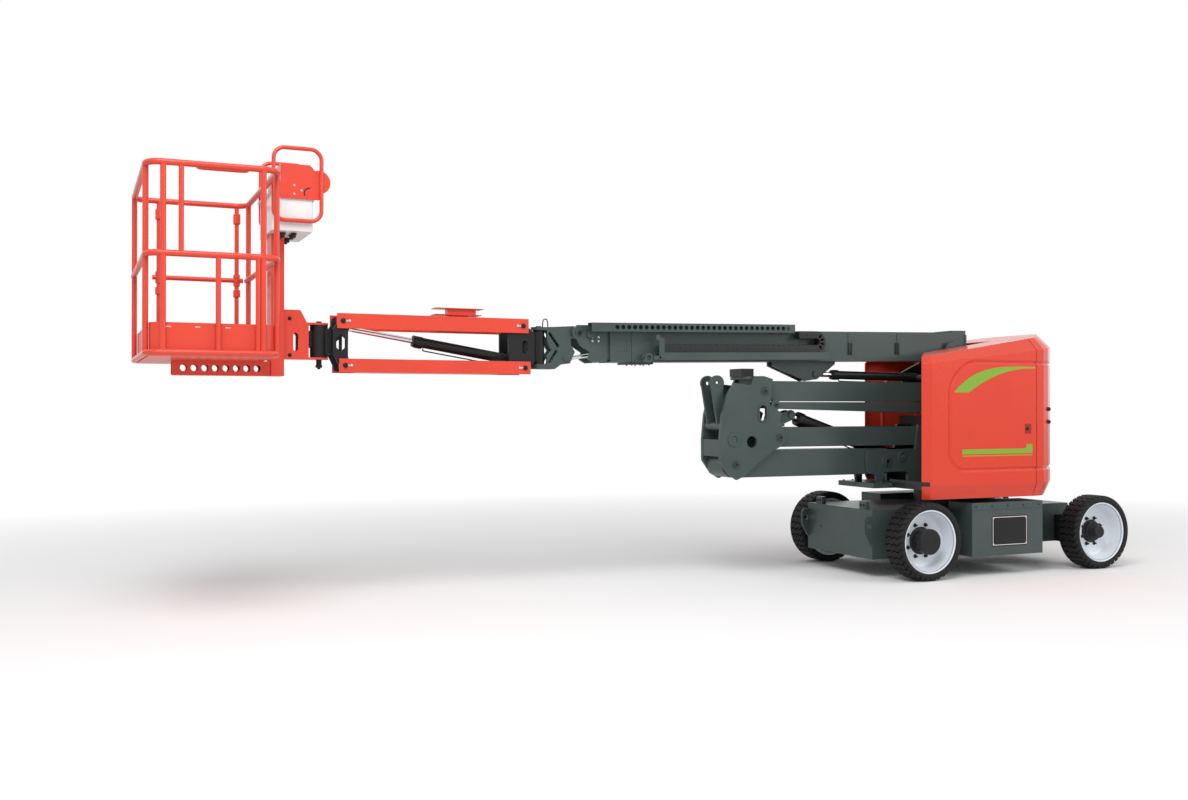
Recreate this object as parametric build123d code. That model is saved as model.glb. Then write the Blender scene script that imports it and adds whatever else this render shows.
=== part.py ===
"""Articulating boom lift: narrow electric chassis, double riser, telescopic boom and rotating jib.

Every size is in millimetres.  While a piece is being made, X = 0 is the drive axle and +X runs
towards the work platform, +Y is the machine's left side, and Z = 0 is the floor.  CENTRE_X then
moves the whole machine so that its origin is the middle of its footprint box.  A point is a pair
(X, Z), and a step is the way from one pivot to the next, so that a change of length carries on
through the machine.
"""
from build123d import *
import os
from math import atan2, cos, degrees, hypot, radians, sin


def add(a, b):
    return (a[0] + b[0], a[1] + b[1])


# ---------------------------------------------------------------- wheels and chassis
TYRE_R = 300.0
TYRE_W = 190.0
TRACK = 1290.0
WHEELBASE = 1758.0
RIM_R = 226.0
RIM_LIP_R = 252.0
RIM_WALL = 10.0
RIM_DISC_OUT = -35.0
LUG_COUNT = 22
LUG_DEPTH = 13.0
SPINDLE_R = 38.0
FIT = 0.05
SEAT = 0.3
GAP = 6.0

FRAME_FRONT = 316.0
FRAME_HALF_W = 432.0
FRAME_LOW = 147.0
FRAME_HIGH = 527.0
NARROW_AHEAD = 578.0
TAIL_OVERHANG = 87.0
TAIL_HALF_W = 285.0
LUG_EAR = 20.0
LUG_HOLE_R = 20.0
LUG_REACH = 70.0
LUG_Z = 395.0
STOP_BLOCK = ((262.0, 302.0), (250.0, 330.0), 58.0)
FRAME_STEP = NARROW_AHEAD - WHEELBASE
FRAME_TAIL = -WHEELBASE - TAIL_OVERHANG

SIDE_BOX_X = (-1150.0, -430.0)
SIDE_BOX_OUT = 700.0
SIDE_BOX_Z = (160.0, 578.0)
SIDE_BOX_WALL = 8.0

KINGPIN_Y = 490.0
KINGPIN_R = 22.0
KNUCKLE_R = 52.0
YOKE_PLATE = 22.0
STEER_ARM = 150.0
STEER_BEAM = 110.0
TIE_ROD_R = 14.0

# ---------------------------------------------------------------- turntable
SLEW_X = -860.0
SLEW_R = 330.0
SLEW_GAP = 0.3
DECK_LOW = 680.0
DECK_T = 40.0
DECK_FRONT = 150.0
CHEEK_IN = 122.0
CHEEK_T = 26.0
COVER_LOW = 616.0
COVER_T = 8.0
COVER_IN = 240.0
COVER_OUT = 740.0
COVER_JOIN = -1050.0
COVER_SEAM = 3.0
LEFT_COVER_FRONT = 48.0
RIGHT_COVER_FRONT = -455.0
HINGE_BACK = 66.0
TAIL_BACK = -1600.0
WEIGHT_GAP = 120.0
COVER_TOP_REAR = 1874.0
COVER_TOP_SLOPE = 0.154
WALL_TOP_FRONT = 1659.0
WALL_TOP_SLOPE = 0.1133
SHOULDER_RISE = 1.06
SKIRT_HIGH = 726.0
SKIRT_FALL = 2.44
COVER_SKIRT = (SKIRT_HIGH - COVER_LOW) / SKIRT_FALL
COVER_BEVEL = 54.0
COVER_RAKE = 400.0
GROOVE_W = 34.0
GROOVE_DEEP = 12.0
GROOVE_Z = (840.0, 1677.0)
GROOVE_INSET = 226.0
GROOVE_R = (280.0, 150.0)

# ---------------------------------------------------------------- riser
ARM_HALF_W = 110.0
LINK_BAR_IN = 70.0
PIN_R = 22.0
LINK_PIN_R = 15.0
LOWER_FOOT = (-45.0, 890.0)
LOWER_LENGTH = 1405.0
LOWER_HALF_H = 103.0
LINK_STEP = (-392.0, 202.0)
LOWER_LINK_HALF_H = 76.0
KNEE_STEP = (-257.0, 559.0)
UPPER_LENGTH = 1723.0
UPPER_HALF_H = 78.0
UPPER_STEP = (-100.0, -108.0)
UPPER_LINK_RISE = 24.0
UPPER_LINK_DEPTH = (26.0, 70.0)

LOWER_HEAD = add(LOWER_FOOT, (LOWER_LENGTH, 0))
LINK_FOOT = add(LOWER_FOOT, LINK_STEP)
LINK_HEAD = add(LOWER_HEAD, LINK_STEP)
UPPER_FOOT = add(LOWER_HEAD, KNEE_STEP)
UPPER_HEAD = add(UPPER_FOOT, (-UPPER_LENGTH, 0))
UPPER_LINK_FOOT = add(UPPER_FOOT, UPPER_STEP)
UPPER_LINK_HEAD = add(UPPER_HEAD, UPPER_STEP)
RISER_RAM_BASE = add(LOWER_FOOT, (-167.0, 34.0))
RISER_RAM_TIP = add(LINK_HEAD, (-168.0, 170.0))

# ---------------------------------------------------------------- boom
BOOM_FOOT = add(UPPER_HEAD, (-130.0, 351.0))
BOOM_TILT = 1.1
BOOM_H = 236.0
BOOM_RISE = 29.0
BOOM_TAIL = -145.0
BOOM_LENGTH = 3142.0
BOOM_COLLAR = 169.0
BOOM_HALF_W = 106.0
BOOM_WALL = 8.0
FLY_HALF_W = 88.0
FLY_H = 196.0
FLY_LENGTH = 2650.0
FLY_OUT = 43.0
FLY_TIP = BOOM_LENGTH + FLY_OUT
TRAY_IN = 12.0
TRAY_W = 68.0
TRAY_H = 64.0
TRAY_HOLE_R = 16.0
TRAY_HOLE_PITCH = 47.0
CHAIN_IN = 16.0
CHAIN_W = 62.0
CHAIN_H = 56.0
CHAIN_BEND = 82.0

# Pivots beyond the boom, as steps from the boom's foot in the boom's own frame
NOSE_OUT = (FLY_TIP + 200.2, 127.0)
NOSE_PIVOT = (
    BOOM_FOOT[0] + NOSE_OUT[0] * cos(radians(BOOM_TILT)) + NOSE_OUT[1] * sin(radians(BOOM_TILT)),
    BOOM_FOOT[1] - NOSE_OUT[0] * sin(radians(BOOM_TILT)) + NOSE_OUT[1] * cos(radians(BOOM_TILT)),
)
BOOM_RAM_BASE = add(UPPER_HEAD, (160.0, 123.0))
BOOM_RAM_TIP = add(BOOM_FOOT, (1324.0, -213.0))
LEVEL_BASE = add(NOSE_PIVOT, (-707.0, -72.0))
LEVEL_TIP = add(NOSE_PIVOT, (84.0, -191.0))

# ---------------------------------------------------------------- jib and platform
SWING_X = NOSE_PIVOT[0] + 271.0
SWING_R = 42.0
SWING_Z = (NOSE_PIVOT[1] - 229.0, NOSE_PIVOT[1] + 12.0)
JIB_FOOT = (SWING_X + 160.0, NOSE_PIVOT[1] + 32.0)
JIB_LENGTH = 1264.0
JIB_DROP = (-15.0, -294.0)
JIB_HALF_W = 120.0
JIB_WALL = 8.0
JIB_TOP_HALF_H = 50.0
JIB_LOW_HALF_H = 45.0
JIB_END = 40.0
JIB_PIN_R = 16.0
JIB_BOSS_R = 38.0
JIB_FLANGE = 36.0
JIB_PLATE_Y = (84.0, 106.0)
JIB_HEAD = add(JIB_FOOT, (JIB_LENGTH, 0))
JIB_LOW_FOOT = add(JIB_FOOT, JIB_DROP)
JIB_LOW_HEAD = add(JIB_HEAD, JIB_DROP)
JIB_RAM_BASE = add(JIB_LOW_FOOT, (32.0, 55.0))
JIB_RAM_TIP = add(JIB_HEAD, (-30.0, -40.0))
ROTATE_X = JIB_HEAD[0] + 136.0
ROTATE_R = 58.0
ROTATE_Z = (JIB_HEAD[1] - 242.0, JIB_HEAD[1] - 28.0)
FORK_R = 60.0
FORK_T = 14.0

RAIL_R = 19.0
POST_R = 17.0
BASKET_AHEAD = 370.0
BASKET_X = (ROTATE_X + BASKET_AHEAD, ROTATE_X + BASKET_AHEAD + 742.0)
BASKET_Y = 700.0
BASKET_LOW = 1640.0
BASKET_HIGH = 2735.0
BASKET_MID = 2212.0
TOE_HIGH = 1815.0
TOE_T = 4.0
COLUMN_X = (ROTATE_X + 240.0, ROTATE_X + 322.0)
BEAM_REACH = 552.0
BEAM_Z = (1526.0, 1620.7)
BEAM_HALF_W = 60.0
BEAM_WALL = 6.0
BEAM_HOLE_R = 22.0
BEAM_HOLE_PITCH = 64.3
CONSOLE_Z = (2445.0, 2690.0, 2870.0)
CONSOLE_X = (ROTATE_X + 89.0, ROTATE_X + 344.0)
CONSOLE_HALF_W = 250.0
HOOD_X = (ROTATE_X + 36.0, ROTATE_X + 292.0)
HOOD_HALF_W = 262.0
GUARD_R = 13.0
CORNER_R = 90.0
ENTRY_BACK = (674.0, 160.0)

REAR_END = -WHEELBASE - TYRE_R
FRONT_END = BASKET_X[1] + RAIL_R
CENTRE_X = -(REAR_END + FRONT_END) / 2


# ---------------------------------------------------------------- shared shapes
def block(x, y, z):
    """Box between three (low, high) pairs."""
    size = [high - low for low, high in (x, y, z)]
    middle = [(low + high) / 2 for low, high in (x, y, z)]
    return Pos(*middle) * Box(*size)


def across(x, z, r, y):
    """Round bar along Y between y = (low, high)."""
    return Pos(x, (y[0] + y[1]) / 2, z) * Rot(90, 0, 0) * Cylinder(r, y[1] - y[0])


def upright_bar(x, y, r, z):
    """Round bar along Z between z = (low, high)."""
    return Pos(x, y, (z[0] + z[1]) / 2) * Cylinder(r, z[1] - z[0])


def lengthwise(y, z, r, x):
    """Round bar along X between x = (low, high)."""
    return Pos((x[0] + x[1]) / 2, y, z) * Rot(0, 90, 0) * Cylinder(r, x[1] - x[0])


def plate(outline, y):
    """An outline drawn in (X, Z), made as thick as y = (low, high)."""
    side = Plane(origin=(0, y[0], 0), x_dir=(1, 0, 0), z_dir=(0, -1, 0))
    return extrude(side * outline, amount=y[1] - y[0], dir=(0, 1, 0))


def outline(*points):
    return Polygon(*points, align=None)


def around(point, *steps):
    """Outline whose corners are steps from a pivot."""
    return outline(*[add(point, step) for step in steps])


def disc(point, r):
    return Pos(*point) * Circle(r)


def bar_between(a, b, half):
    """Flat link in (X, Z) with round ends at a and b."""
    length = hypot(b[0] - a[0], b[1] - a[1])
    turn = degrees(atan2(b[1] - a[1], b[0] - a[0]))
    middle = ((a[0] + b[0]) / 2, (a[1] + b[1]) / 2)
    return Pos(*middle) * Rot(0, 0, turn) * SlotCenterToCenter(length, 2 * half)


def both_sides(piece):
    return piece + mirror(piece, about=Plane.XZ)


def flanks(shape, y):
    """The same plate on the left and on the right."""
    return plate(shape, y) + plate(shape, (-y[1], -y[0]))


def box_tube(x, half_w, z, wall):
    """Rectangular tube along X, open at both ends."""
    outer = block(x, (-half_w, half_w), z)
    inner = block((x[0] - 1, x[1] + 1), (wall - half_w, half_w - wall), (z[0] + wall, z[1] - wall))
    return outer - inner


def along_boom(piece):
    """Move a piece drawn level from the boom's foot onto the sloping boom."""
    return Pos(BOOM_FOOT[0], 0, BOOM_FOOT[1]) * Rot(0, BOOM_TILT, 0) * piece


def on_boom(point):
    """(X, Z) of the machine as (along, above) measured in the boom's own frame."""
    dx = point[0] - BOOM_FOOT[0]
    dz = point[1] - BOOM_FOOT[1]
    turn = radians(BOOM_TILT)
    return (dx * cos(turn) - dz * sin(turn), dx * sin(turn) + dz * cos(turn))


def place_ram(piece, base, tip):
    turn = degrees(atan2(tip[1] - base[1], tip[0] - base[0]))
    return Pos(base[0], 0, base[1]) * Rot(0, -turn, 0) * piece


RAMS = {  # name: base pin, rod pin, barrel radius, rod radius, barrel length, where the rod starts inside,
    # half width of the eyes, eye radius, pin radius
    "riser": (RISER_RAM_BASE, RISER_RAM_TIP, 50.0, 28.0, 985.0, 330.0, 30.0, 36.0, 18.0),
    "boom": (BOOM_RAM_BASE, BOOM_RAM_TIP, 34.0, 20.0, 850.0, 300.0, 26.0, 32.0, 16.0),
    "level": (LEVEL_BASE, LEVEL_TIP, 26.0, 15.0, 440.0, 335.0, 22.0, 26.0, 13.0),
    "jib": (JIB_RAM_BASE, JIB_RAM_TIP, 35.0, 18.0, 760.0, 340.0, 24.0, 28.0, 14.0),
}


def ram_barrel(name):
    base, tip, barrel_r, rod_r, length, start, eye_w, eye_r, pin_r = RAMS[name]
    body = lengthwise(0, 0, barrel_r, (eye_r * 0.8, length - 30))
    gland = lengthwise(0, 0, barrel_r + 4, (length - 60, length))
    eye = across(0, 0, eye_r, (-eye_w, eye_w))
    cap = eye_r + 45
    bore = lengthwise(0, 0, rod_r + FIT, (cap, length + 1))
    piece = body + gland + eye - bore - across(0, 0, pin_r + FIT, (-eye_w - 1, eye_w + 1))
    return place_ram(piece, base, tip)


def ram_rod(name):
    base, tip, barrel_r, rod_r, length, start, eye_w, eye_r, pin_r = RAMS[name]
    reach = hypot(tip[0] - base[0], tip[1] - base[1])
    shaft = lengthwise(0, 0, rod_r, (start, reach - eye_r * 0.6))
    eye = across(reach, 0, eye_r, (-eye_w, eye_w))
    piece = shaft + eye - across(reach, 0, pin_r + 3, (-eye_w - 1, eye_w + 1))
    return place_ram(piece, base, tip)


def base_pin(name, y):
    """Pin that carries a ram's barrel, held by the plates at half width y."""
    base, pin_r = RAMS[name][0], RAMS[name][8]
    return across(base[0], base[1], pin_r, (-y, y))


def rod_ears(name, foot, thick=16.0):
    """Two ears with pin heads that carry a ram's rod eye, grown from the foot outline points."""
    tip, eye_w, eye_r, pin_r = RAMS[name][1], RAMS[name][6], RAMS[name][7], RAMS[name][8]
    ear = make_hull((outline(*foot) + disc(tip, eye_r + 4)).edges())
    inner = eye_w + SEAT
    ears = flanks(ear, (inner, inner + thick))
    head = across(tip[0], tip[1], pin_r + 6, (inner + thick, inner + thick + 12))
    return ears + both_sides(head)


# ---------------------------------------------------------------- chassis
def chassis_frame():
    front = block((FRAME_STEP, FRAME_FRONT), (-FRAME_HALF_W, FRAME_HALF_W), (FRAME_LOW, FRAME_HIGH))
    tail = block((FRAME_TAIL, FRAME_STEP), (-TAIL_HALF_W, TAIL_HALF_W), (FRAME_LOW + 40, FRAME_HIGH - 20))
    ear_y = (FRAME_HALF_W - LUG_EAR, FRAME_HALF_W)
    ear = outline(
        (FRAME_FRONT - 1, LUG_Z - 150),
        (FRAME_FRONT + 20, LUG_Z - 130),
        (FRAME_FRONT + LUG_REACH, LUG_Z - 40),
        (FRAME_FRONT + LUG_REACH, LUG_Z + 60),
        (FRAME_FRONT + LUG_REACH - 25, LUG_Z + 85),
        (FRAME_FRONT - 1, LUG_Z + 85),
    )
    hole = Pos(FRAME_FRONT + LUG_REACH - 38, LUG_Z + 10) * Circle(LUG_HOLE_R)
    stop_x, stop_y, stop_high = STOP_BLOCK
    stops = both_sides(block(stop_x, stop_y, (FRAME_HIGH - 1, FRAME_HIGH + stop_high)))
    middle = (stop_x[0] + stop_x[1]) / 2
    for share in (0.28, 0.72):
        y = stop_y[0] + share * (stop_y[1] - stop_y[0])
        for side in (-1, 1):
            hole_y = side * y
            stops -= lengthwise(hole_y, FRAME_HIGH + stop_high * 0.5, 12, (middle - 60, middle + 60))
    return front + tail + flanks(ear - hole, ear_y) + stops


def side_boxes():
    """Closed steel lockers under the turntable, one on each side."""
    y = (FRAME_HALF_W + SEAT, SIDE_BOX_OUT)
    box = block(SIDE_BOX_X, y, SIDE_BOX_Z)
    room = block(*[(low + SIDE_BOX_WALL, high - SIDE_BOX_WALL) for low, high in (SIDE_BOX_X, y, SIDE_BOX_Z)])
    return both_sides(box - room)


def drive_axle():
    gear = across(0, TYRE_R, 120, (FRAME_HALF_W, 548))
    disc = TRACK / 2 + RIM_DISC_OUT - 12
    neck = across(0, TYRE_R, 95, (548, disc - SEAT))
    spindle = across(0, TYRE_R, SPINDLE_R, (disc - 9, disc + 102))
    return both_sides(gear + neck + spindle)


def kingpin_post(y):
    return upright_bar(-WHEELBASE, y, KINGPIN_R, (TYRE_R - 118, TYRE_R + 118))


def steer_axle():
    x = -WHEELBASE
    beam = block((x - 70, x + 70), (TAIL_HALF_W, KINGPIN_Y - STEER_BEAM), (TYRE_R - 100, TYRE_R + 100))
    yokes = Part()
    for low in (TYRE_R - 100 - 12, TYRE_R + 100 - 10):
        z = (low, low + YOKE_PLATE)
        yokes += block((x - 60, x + 60), (TAIL_HALF_W, KINGPIN_Y), z) + upright_bar(x, KINGPIN_Y, 60, z)
    return both_sides(beam + yokes + kingpin_post(KINGPIN_Y))


def slew_ring():
    return upright_bar(SLEW_X, 0, SLEW_R, (FRAME_HIGH, DECK_LOW - SLEW_GAP))


def knuckle(side):
    x = -WHEELBASE
    z = (TYRE_R - 100 + YOKE_PLATE - 12 + SEAT, TYRE_R + 100 - 10 - SEAT)
    swivel = upright_bar(x, KINGPIN_Y, KNUCKLE_R, z)
    flange = across(x, TYRE_R, 85, (KINGPIN_Y + 40, KINGPIN_Y + 70))
    block_out = block((x - 45, x + 45), (KINGPIN_Y, KINGPIN_Y + 50), (TYRE_R - 60, TYRE_R + 60))
    spindle = across(x, TYRE_R, SPINDLE_R, (KINGPIN_Y + 70, 700))
    arm_z = (TYRE_R + 10, TYRE_R + 34)
    arm = block((x - STEER_ARM, x), (KINGPIN_Y - 24, KINGPIN_Y + 24), arm_z)
    arm += upright_bar(x - STEER_ARM, KINGPIN_Y, 24, arm_z)
    pin = upright_bar(x - STEER_ARM, KINGPIN_Y, 10, (arm_z[0] - 30, arm_z[1]))
    piece = swivel + flange + block_out + spindle + arm + pin
    piece -= upright_bar(x, KINGPIN_Y, KINGPIN_R + FIT, (z[0] - 5, z[1] + 5))
    return piece if side > 0 else mirror(piece, about=Plane.XZ)


def tie_rod():
    x = -WHEELBASE - STEER_ARM
    z = (TYRE_R - 18, TYRE_R + 10 - SEAT)
    middle = (z[0] + z[1]) / 2
    bar = across(x, middle, TIE_ROD_R, (-KINGPIN_Y, KINGPIN_Y))
    eyes = upright_bar(x, KINGPIN_Y, 20, z) + upright_bar(x, -KINGPIN_Y, 20, z)
    holes = Part()
    for y in (-KINGPIN_Y, KINGPIN_Y):
        holes += upright_bar(x, y, 10 + FIT, (z[0] - 1, z[1] + 1))
    return bar + eyes - holes


# ---------------------------------------------------------------- wheels, made at the origin with +Y outwards
def revolved(points):
    """Ring about Y from (radius, y) points."""
    return revolve(Plane.XY * make_face(Polyline(*points, close=True)), Axis.Y)


def tyre_shape():
    half = TYRE_W / 2
    tread = TYRE_R - LUG_DEPTH
    ring = revolved([
        (RIM_R + SEAT, -half + 15), (RIM_LIP_R + 4, -half + 15), (RIM_LIP_R + 6, -half),
        (tread, -half + 4), (tread, half - 4), (RIM_LIP_R + 6, half), (RIM_LIP_R + 4, half - 15),
        (RIM_R + SEAT, half - 15),
    ])
    lugs = Part()
    for number in range(LUG_COUNT):
        for side in (-1, 1):
            turn = 360.0 / LUG_COUNT * (number + 0.25 * side)
            lug = Pos(0, side * half * 0.5, tread + LUG_DEPTH / 2 - 6) * Rot(0, 0, side * 24)
            lugs += Rot(0, turn, 0) * lug * Box(44, half * 0.98, LUG_DEPTH + 12)
    trim = Rot(90, 0, 0) * Cylinder(TYRE_R, TYRE_W)
    return ring + (lugs & trim)


def rim_shape(hub_r, hub_out):
    half = TYRE_W / 2 - 15
    barrel = revolved([
        (RIM_R - RIM_WALL, -half - 8), (RIM_LIP_R, -half - 8), (RIM_LIP_R, -half - SEAT), (RIM_R, -half - SEAT),
        (RIM_R, half + SEAT), (RIM_LIP_R, half + SEAT), (RIM_LIP_R, half + 8), (RIM_R - RIM_WALL, half + 8),
    ])
    dish = revolved([
        (0, RIM_DISC_OUT - 12), (RIM_R - RIM_WALL + 1, RIM_DISC_OUT - 12),
        (RIM_R - RIM_WALL + 1, RIM_DISC_OUT), (0, RIM_DISC_OUT),
    ])
    hub = revolved([(0, -40), (hub_r, -40), (hub_r, hub_out - 8), (hub_r - 8, hub_out), (0, hub_out)])
    spindle_hole = Pos(0, -40, 0) * Rot(90, 0, 0) * Cylinder(SPINDLE_R + FIT, 2 * (55 + 40 + 1))
    return barrel + dish + hub - spindle_hole


WHEELS = {  # name: (axle X, side, hub radius, how far the hub stands out of the wheel's middle)
    "drive_left": (0.0, 1, 98.0, 88.0),
    "drive_right": (0.0, -1, 98.0, 88.0),
    "steer_left": (-WHEELBASE, 1, 80.0, 70.0),
    "steer_right": (-WHEELBASE, -1, 80.0, 70.0),
}


def on_axle(piece, x, side):
    piece = piece if side > 0 else mirror(piece, about=Plane.XZ)
    return Pos(x, side * TRACK / 2, TYRE_R) * piece


# ---------------------------------------------------------------- turntable
CHEEK_Y = (CHEEK_IN, CHEEK_IN + CHEEK_T)
CHEEK_OUT = CHEEK_Y[1]


def hinge_pin(point, r=PIN_R):
    return across(point[0], point[1], r, (-CHEEK_OUT - 14, CHEEK_OUT + 14))


def pin_hole(point, half_w=ARM_HALF_W, r=PIN_R):
    return across(point[0], point[1], r + FIT, (-half_w - 2, half_w + 2))


HINGE_R = 8.0
HINGE_EYE_R = 14.0
HINGE_RISE = 32.0


def cover_hinge(front, side):
    """Bracket and standing pin that a side cover swings on."""
    x = front - HINGE_BACK
    y = side * COVER_IN
    top = DECK_LOW + DECK_T
    eye = upright_bar(x, y, HINGE_EYE_R, (top - 20, top))
    arm = block((x - HINGE_EYE_R, x + HINGE_EYE_R), sorted((side * (COVER_IN - GAP - 20), y)), (top - 20, top))
    return eye + arm + upright_bar(x, y, HINGE_R, (top - 20, top + HINGE_RISE))


WEIGHT_PLAN = [(0.0, 480.0), (330.0, 480.0), (430.0, 360.0)]  # (how far behind the seam, half width)


def weight_prism(ahead, z):
    """Block as wide as the counterweight, from ahead mm behind the seam to its tapered back."""
    half = [(COVER_JOIN - max(behind, ahead), out) for behind, out in WEIGHT_PLAN]
    return prism(outline(*half, *[(x, -y) for x, y in reversed(half)]), z)


def turntable_frame():
    """Deck plate with two cheeks that carry the feet of the riser and of its ram."""
    z = (DECK_LOW, DECK_LOW + DECK_T)
    top = z[1]
    inset = COVER_T + GAP + 2
    deck = block((TAIL_BACK + WEIGHT_GAP, DECK_FRONT), (GAP - COVER_IN, COVER_IN - GAP), z)
    deck += weight_prism(0, z)
    deck += block((COVER_JOIN + GAP, LEFT_COVER_FRONT - 110), (0, COVER_OUT - COVER_SKIRT - inset), z)
    deck += block((COVER_JOIN + GAP, RIGHT_COVER_FRONT - 110), (inset + COVER_SKIRT - COVER_OUT, 0), z)
    x, z = LOWER_FOOT
    nose = x + 196
    cheek = outline((x - 715, top - 1), (x - 211, top - 1), (x - 211, top + 60), (x - 190, top + 82),
                    (x + 18, top + 82), (x + 39, top + 60), (x + 39, top - 1), (x + 96, top - 1), (x + 105, top + 60),
                    (nose - 12, top + 80), (nose, z + 10), (nose - 12, z + 90), (x - 290, z + 96),
                    (x - 318, z + 292), (x - 460, z + 292), (x - 515, z + 190), (x - 715, z + 10))
    plates = flanks(cheek, CHEEK_Y)
    caps = both_sides(across(x, z, 45, (CHEEK_OUT - 1, CHEEK_OUT + 8)))
    ring = across(x - 155, z + 37, 40, (CHEEK_OUT - 1, CHEEK_OUT + 8))
    ring -= across(x - 155, z + 37, 26, (CHEEK_OUT, CHEEK_OUT + 9))
    pins = hinge_pin(LOWER_FOOT) + hinge_pin(LINK_FOOT) + base_pin("riser", CHEEK_OUT + 10)
    spool = across(RISER_RAM_BASE[0], RISER_RAM_BASE[1], 24, (RAMS["riser"][6] + SEAT, CHEEK_IN + 1))
    hinges = cover_hinge(LEFT_COVER_FRONT, 1) + cover_hinge(RIGHT_COVER_FRONT, -1)
    return deck + plates + caps + both_sides(ring) + pins + both_sides(spool) + hinges


def counterweight():
    return weight_prism(60, (DECK_LOW + DECK_T, 1500))


def power_packs():
    z = (DECK_LOW + DECK_T, 1250)
    left = block((-980, -340), (COVER_IN + 60, COVER_OUT - 70), z)
    right = block((-980, -820), (70 - COVER_OUT, -COVER_IN - 60), z)
    return left + right


def cover_top(x):
    """Height of the covers' top panel at x."""
    return COVER_TOP_REAR - COVER_TOP_SLOPE * (x - COVER_JOIN)


def wall_top(x):
    """Height at x where a cover's outer wall turns into its sloping shoulder."""
    return WALL_TOP_FRONT - WALL_TOP_SLOPE * x


def prism(shape, z):
    return Pos(0, 0, z[0]) * extrude(shape, amount=z[1] - z[0], dir=(0, 0, 1))



def outside(start, end, lean, inward, shrink):
    """Half space outside the face that holds the line start-end and leans along lean."""
    along = Vector(*end) - Vector(*start)
    face_out = along.cross(Vector(*lean)).normalized()
    if face_out.dot(Vector(*inward, 0)) > 0:
        face_out = face_out * -1
    side = Plane(origin=Vector(*start) - face_out * shrink, x_dir=along, z_dir=face_out)
    return side * Pos(0, 0, 1500) * Box(9000, 9000, 3000)


def inward_of(a, b):
    """Unit step to the left of the plan line from a to b."""
    length = hypot(b[0] - a[0], b[1] - a[1])
    return ((a[1] - b[1]) / length, (b[0] - a[0]) / length)


def cover_body(x, y, edges, shrink):
    """Solid of a cover: a block cut by a wall, a shoulder and a skirt over each plan edge.

    An edge has the machine on its left, and shrink moves every face inwards.
    """
    body = block(x, y, (COVER_LOW - 20 if shrink else COVER_LOW, 2300))
    ramp = outline((x[0] - 9, cover_top(x[0] - 9) - shrink), (x[1] + 9, cover_top(x[1] + 9) - shrink),
                   (x[1] + 9, 2400), (x[0] - 9, 2400))
    body -= plate(ramp, (y[0] - 9, y[1] + 9))
    for a, b in edges:
        inward = inward_of(a, b)
        high = ((*a, wall_top(a[0])), (*b, wall_top(b[0])))
        low = ((*a, SKIRT_HIGH), (*b, SKIRT_HIGH))
        body -= outside(*low, (0, 0, 1), inward, shrink)
        body -= outside(*high, (*inward, SHOULDER_RISE), inward, shrink)
        body -= outside(*low, (*inward, -SKIRT_FALL), inward, shrink)
    return body


def side_groove(front, shrink):
    """Pressed groove of a side cover, a V that runs round the wall and is open at the seam."""
    x = front - GROOVE_INSET
    start = COVER_JOIN + COVER_SEAM - (9 if not shrink else 0)
    wall = COVER_OUT - shrink
    path = FilletPolyline((start, wall, GROOVE_Z[1]), (x, wall, GROOVE_Z[1]), (x, wall, GROOVE_Z[0]),
                          (start, wall, GROOVE_Z[0]), radius=list(GROOVE_R))
    half = GROOVE_W / 2 + shrink * 0.4
    tip = 2.0 + shrink * 0.4
    section = Polygon((-half, 1), (-half, 0), (-tip, -GROOVE_DEEP), (tip, -GROOVE_DEEP), (half, 0), (half, 1), align=None)
    plane = Plane(origin=path @ 0, x_dir=(0, 0, 1), z_dir=path % 0)
    if plane.y_dir.Y < 0:
        plane = Plane(origin=path @ 0, x_dir=(0, 0, -1), z_dir=path % 0)
    return sweep(plane * section, path=path)


def side_cover(front, side):
    """Swing-out cover: outer wall, chamfered front edge, shoulder and top, open elsewhere."""
    join = COVER_JOIN + COVER_SEAM
    corner = [(front, COVER_OUT - COVER_BEVEL), (front - COVER_BEVEL, COVER_OUT), (join - 20, COVER_OUT)]
    plan = list(zip(corner[:-1], corner[1:]))
    outer = cover_body((join, front), (COVER_IN, COVER_OUT), plan, 0) - side_groove(front, 0)
    outer -= prism(outline((front + 9, corner[0][1]), corner[0], (front - COVER_RAKE, COVER_IN - 9),
                           (front + 9, COVER_IN - 9)), (COVER_LOW - 9, 2400))
    room = cover_body((join - 20, front + 20), (COVER_IN - 20, COVER_OUT), plan, COVER_T)
    shell = outer - (room - side_groove(front, COVER_T))
    x, top = front - HINGE_BACK, DECK_LOW + DECK_T
    z = (top + SEAT, top + HINGE_RISE)
    shell += upright_bar(x, COVER_IN, HINGE_EYE_R, z)
    shell += block((x - HINGE_EYE_R, x + HINGE_EYE_R), (COVER_IN, COVER_OUT - COVER_T + 1), z)
    shell -= upright_bar(x, COVER_IN, HINGE_R + FIT, (top - 1, top + HINGE_RISE + 1))
    return shell if side > 0 else mirror(shell, about=Plane.XZ)


TAIL_PLAN = [  # (how far behind the seam, how far out from the middle line)
    (3.0, COVER_OUT), (80.0, 735.0), (170.0, 690.0), (350.0, 530.0), (510.0, 360.0), (550.0, 250.0),
]


def tail_groove(x, y, edges, z, shrink):
    """Level V groove pressed into the tail cover's walls at height z."""
    half = GROOVE_W / 2 + shrink * 0.4
    groove = block(x, y, (z - half, z + half))
    for way in (-1, 1):
        core = block(x, y, sorted((z, z + way * half)))
        for a, b in edges:
            inward = inward_of(a, b)
            lean = (inward[0] * GROOVE_DEEP, inward[1] * GROOVE_DEEP, -way * half)
            core -= outside((*a, z + way * half), (*b, z + way * half), lean, inward, shrink)
        groove -= core
    return groove


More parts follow.
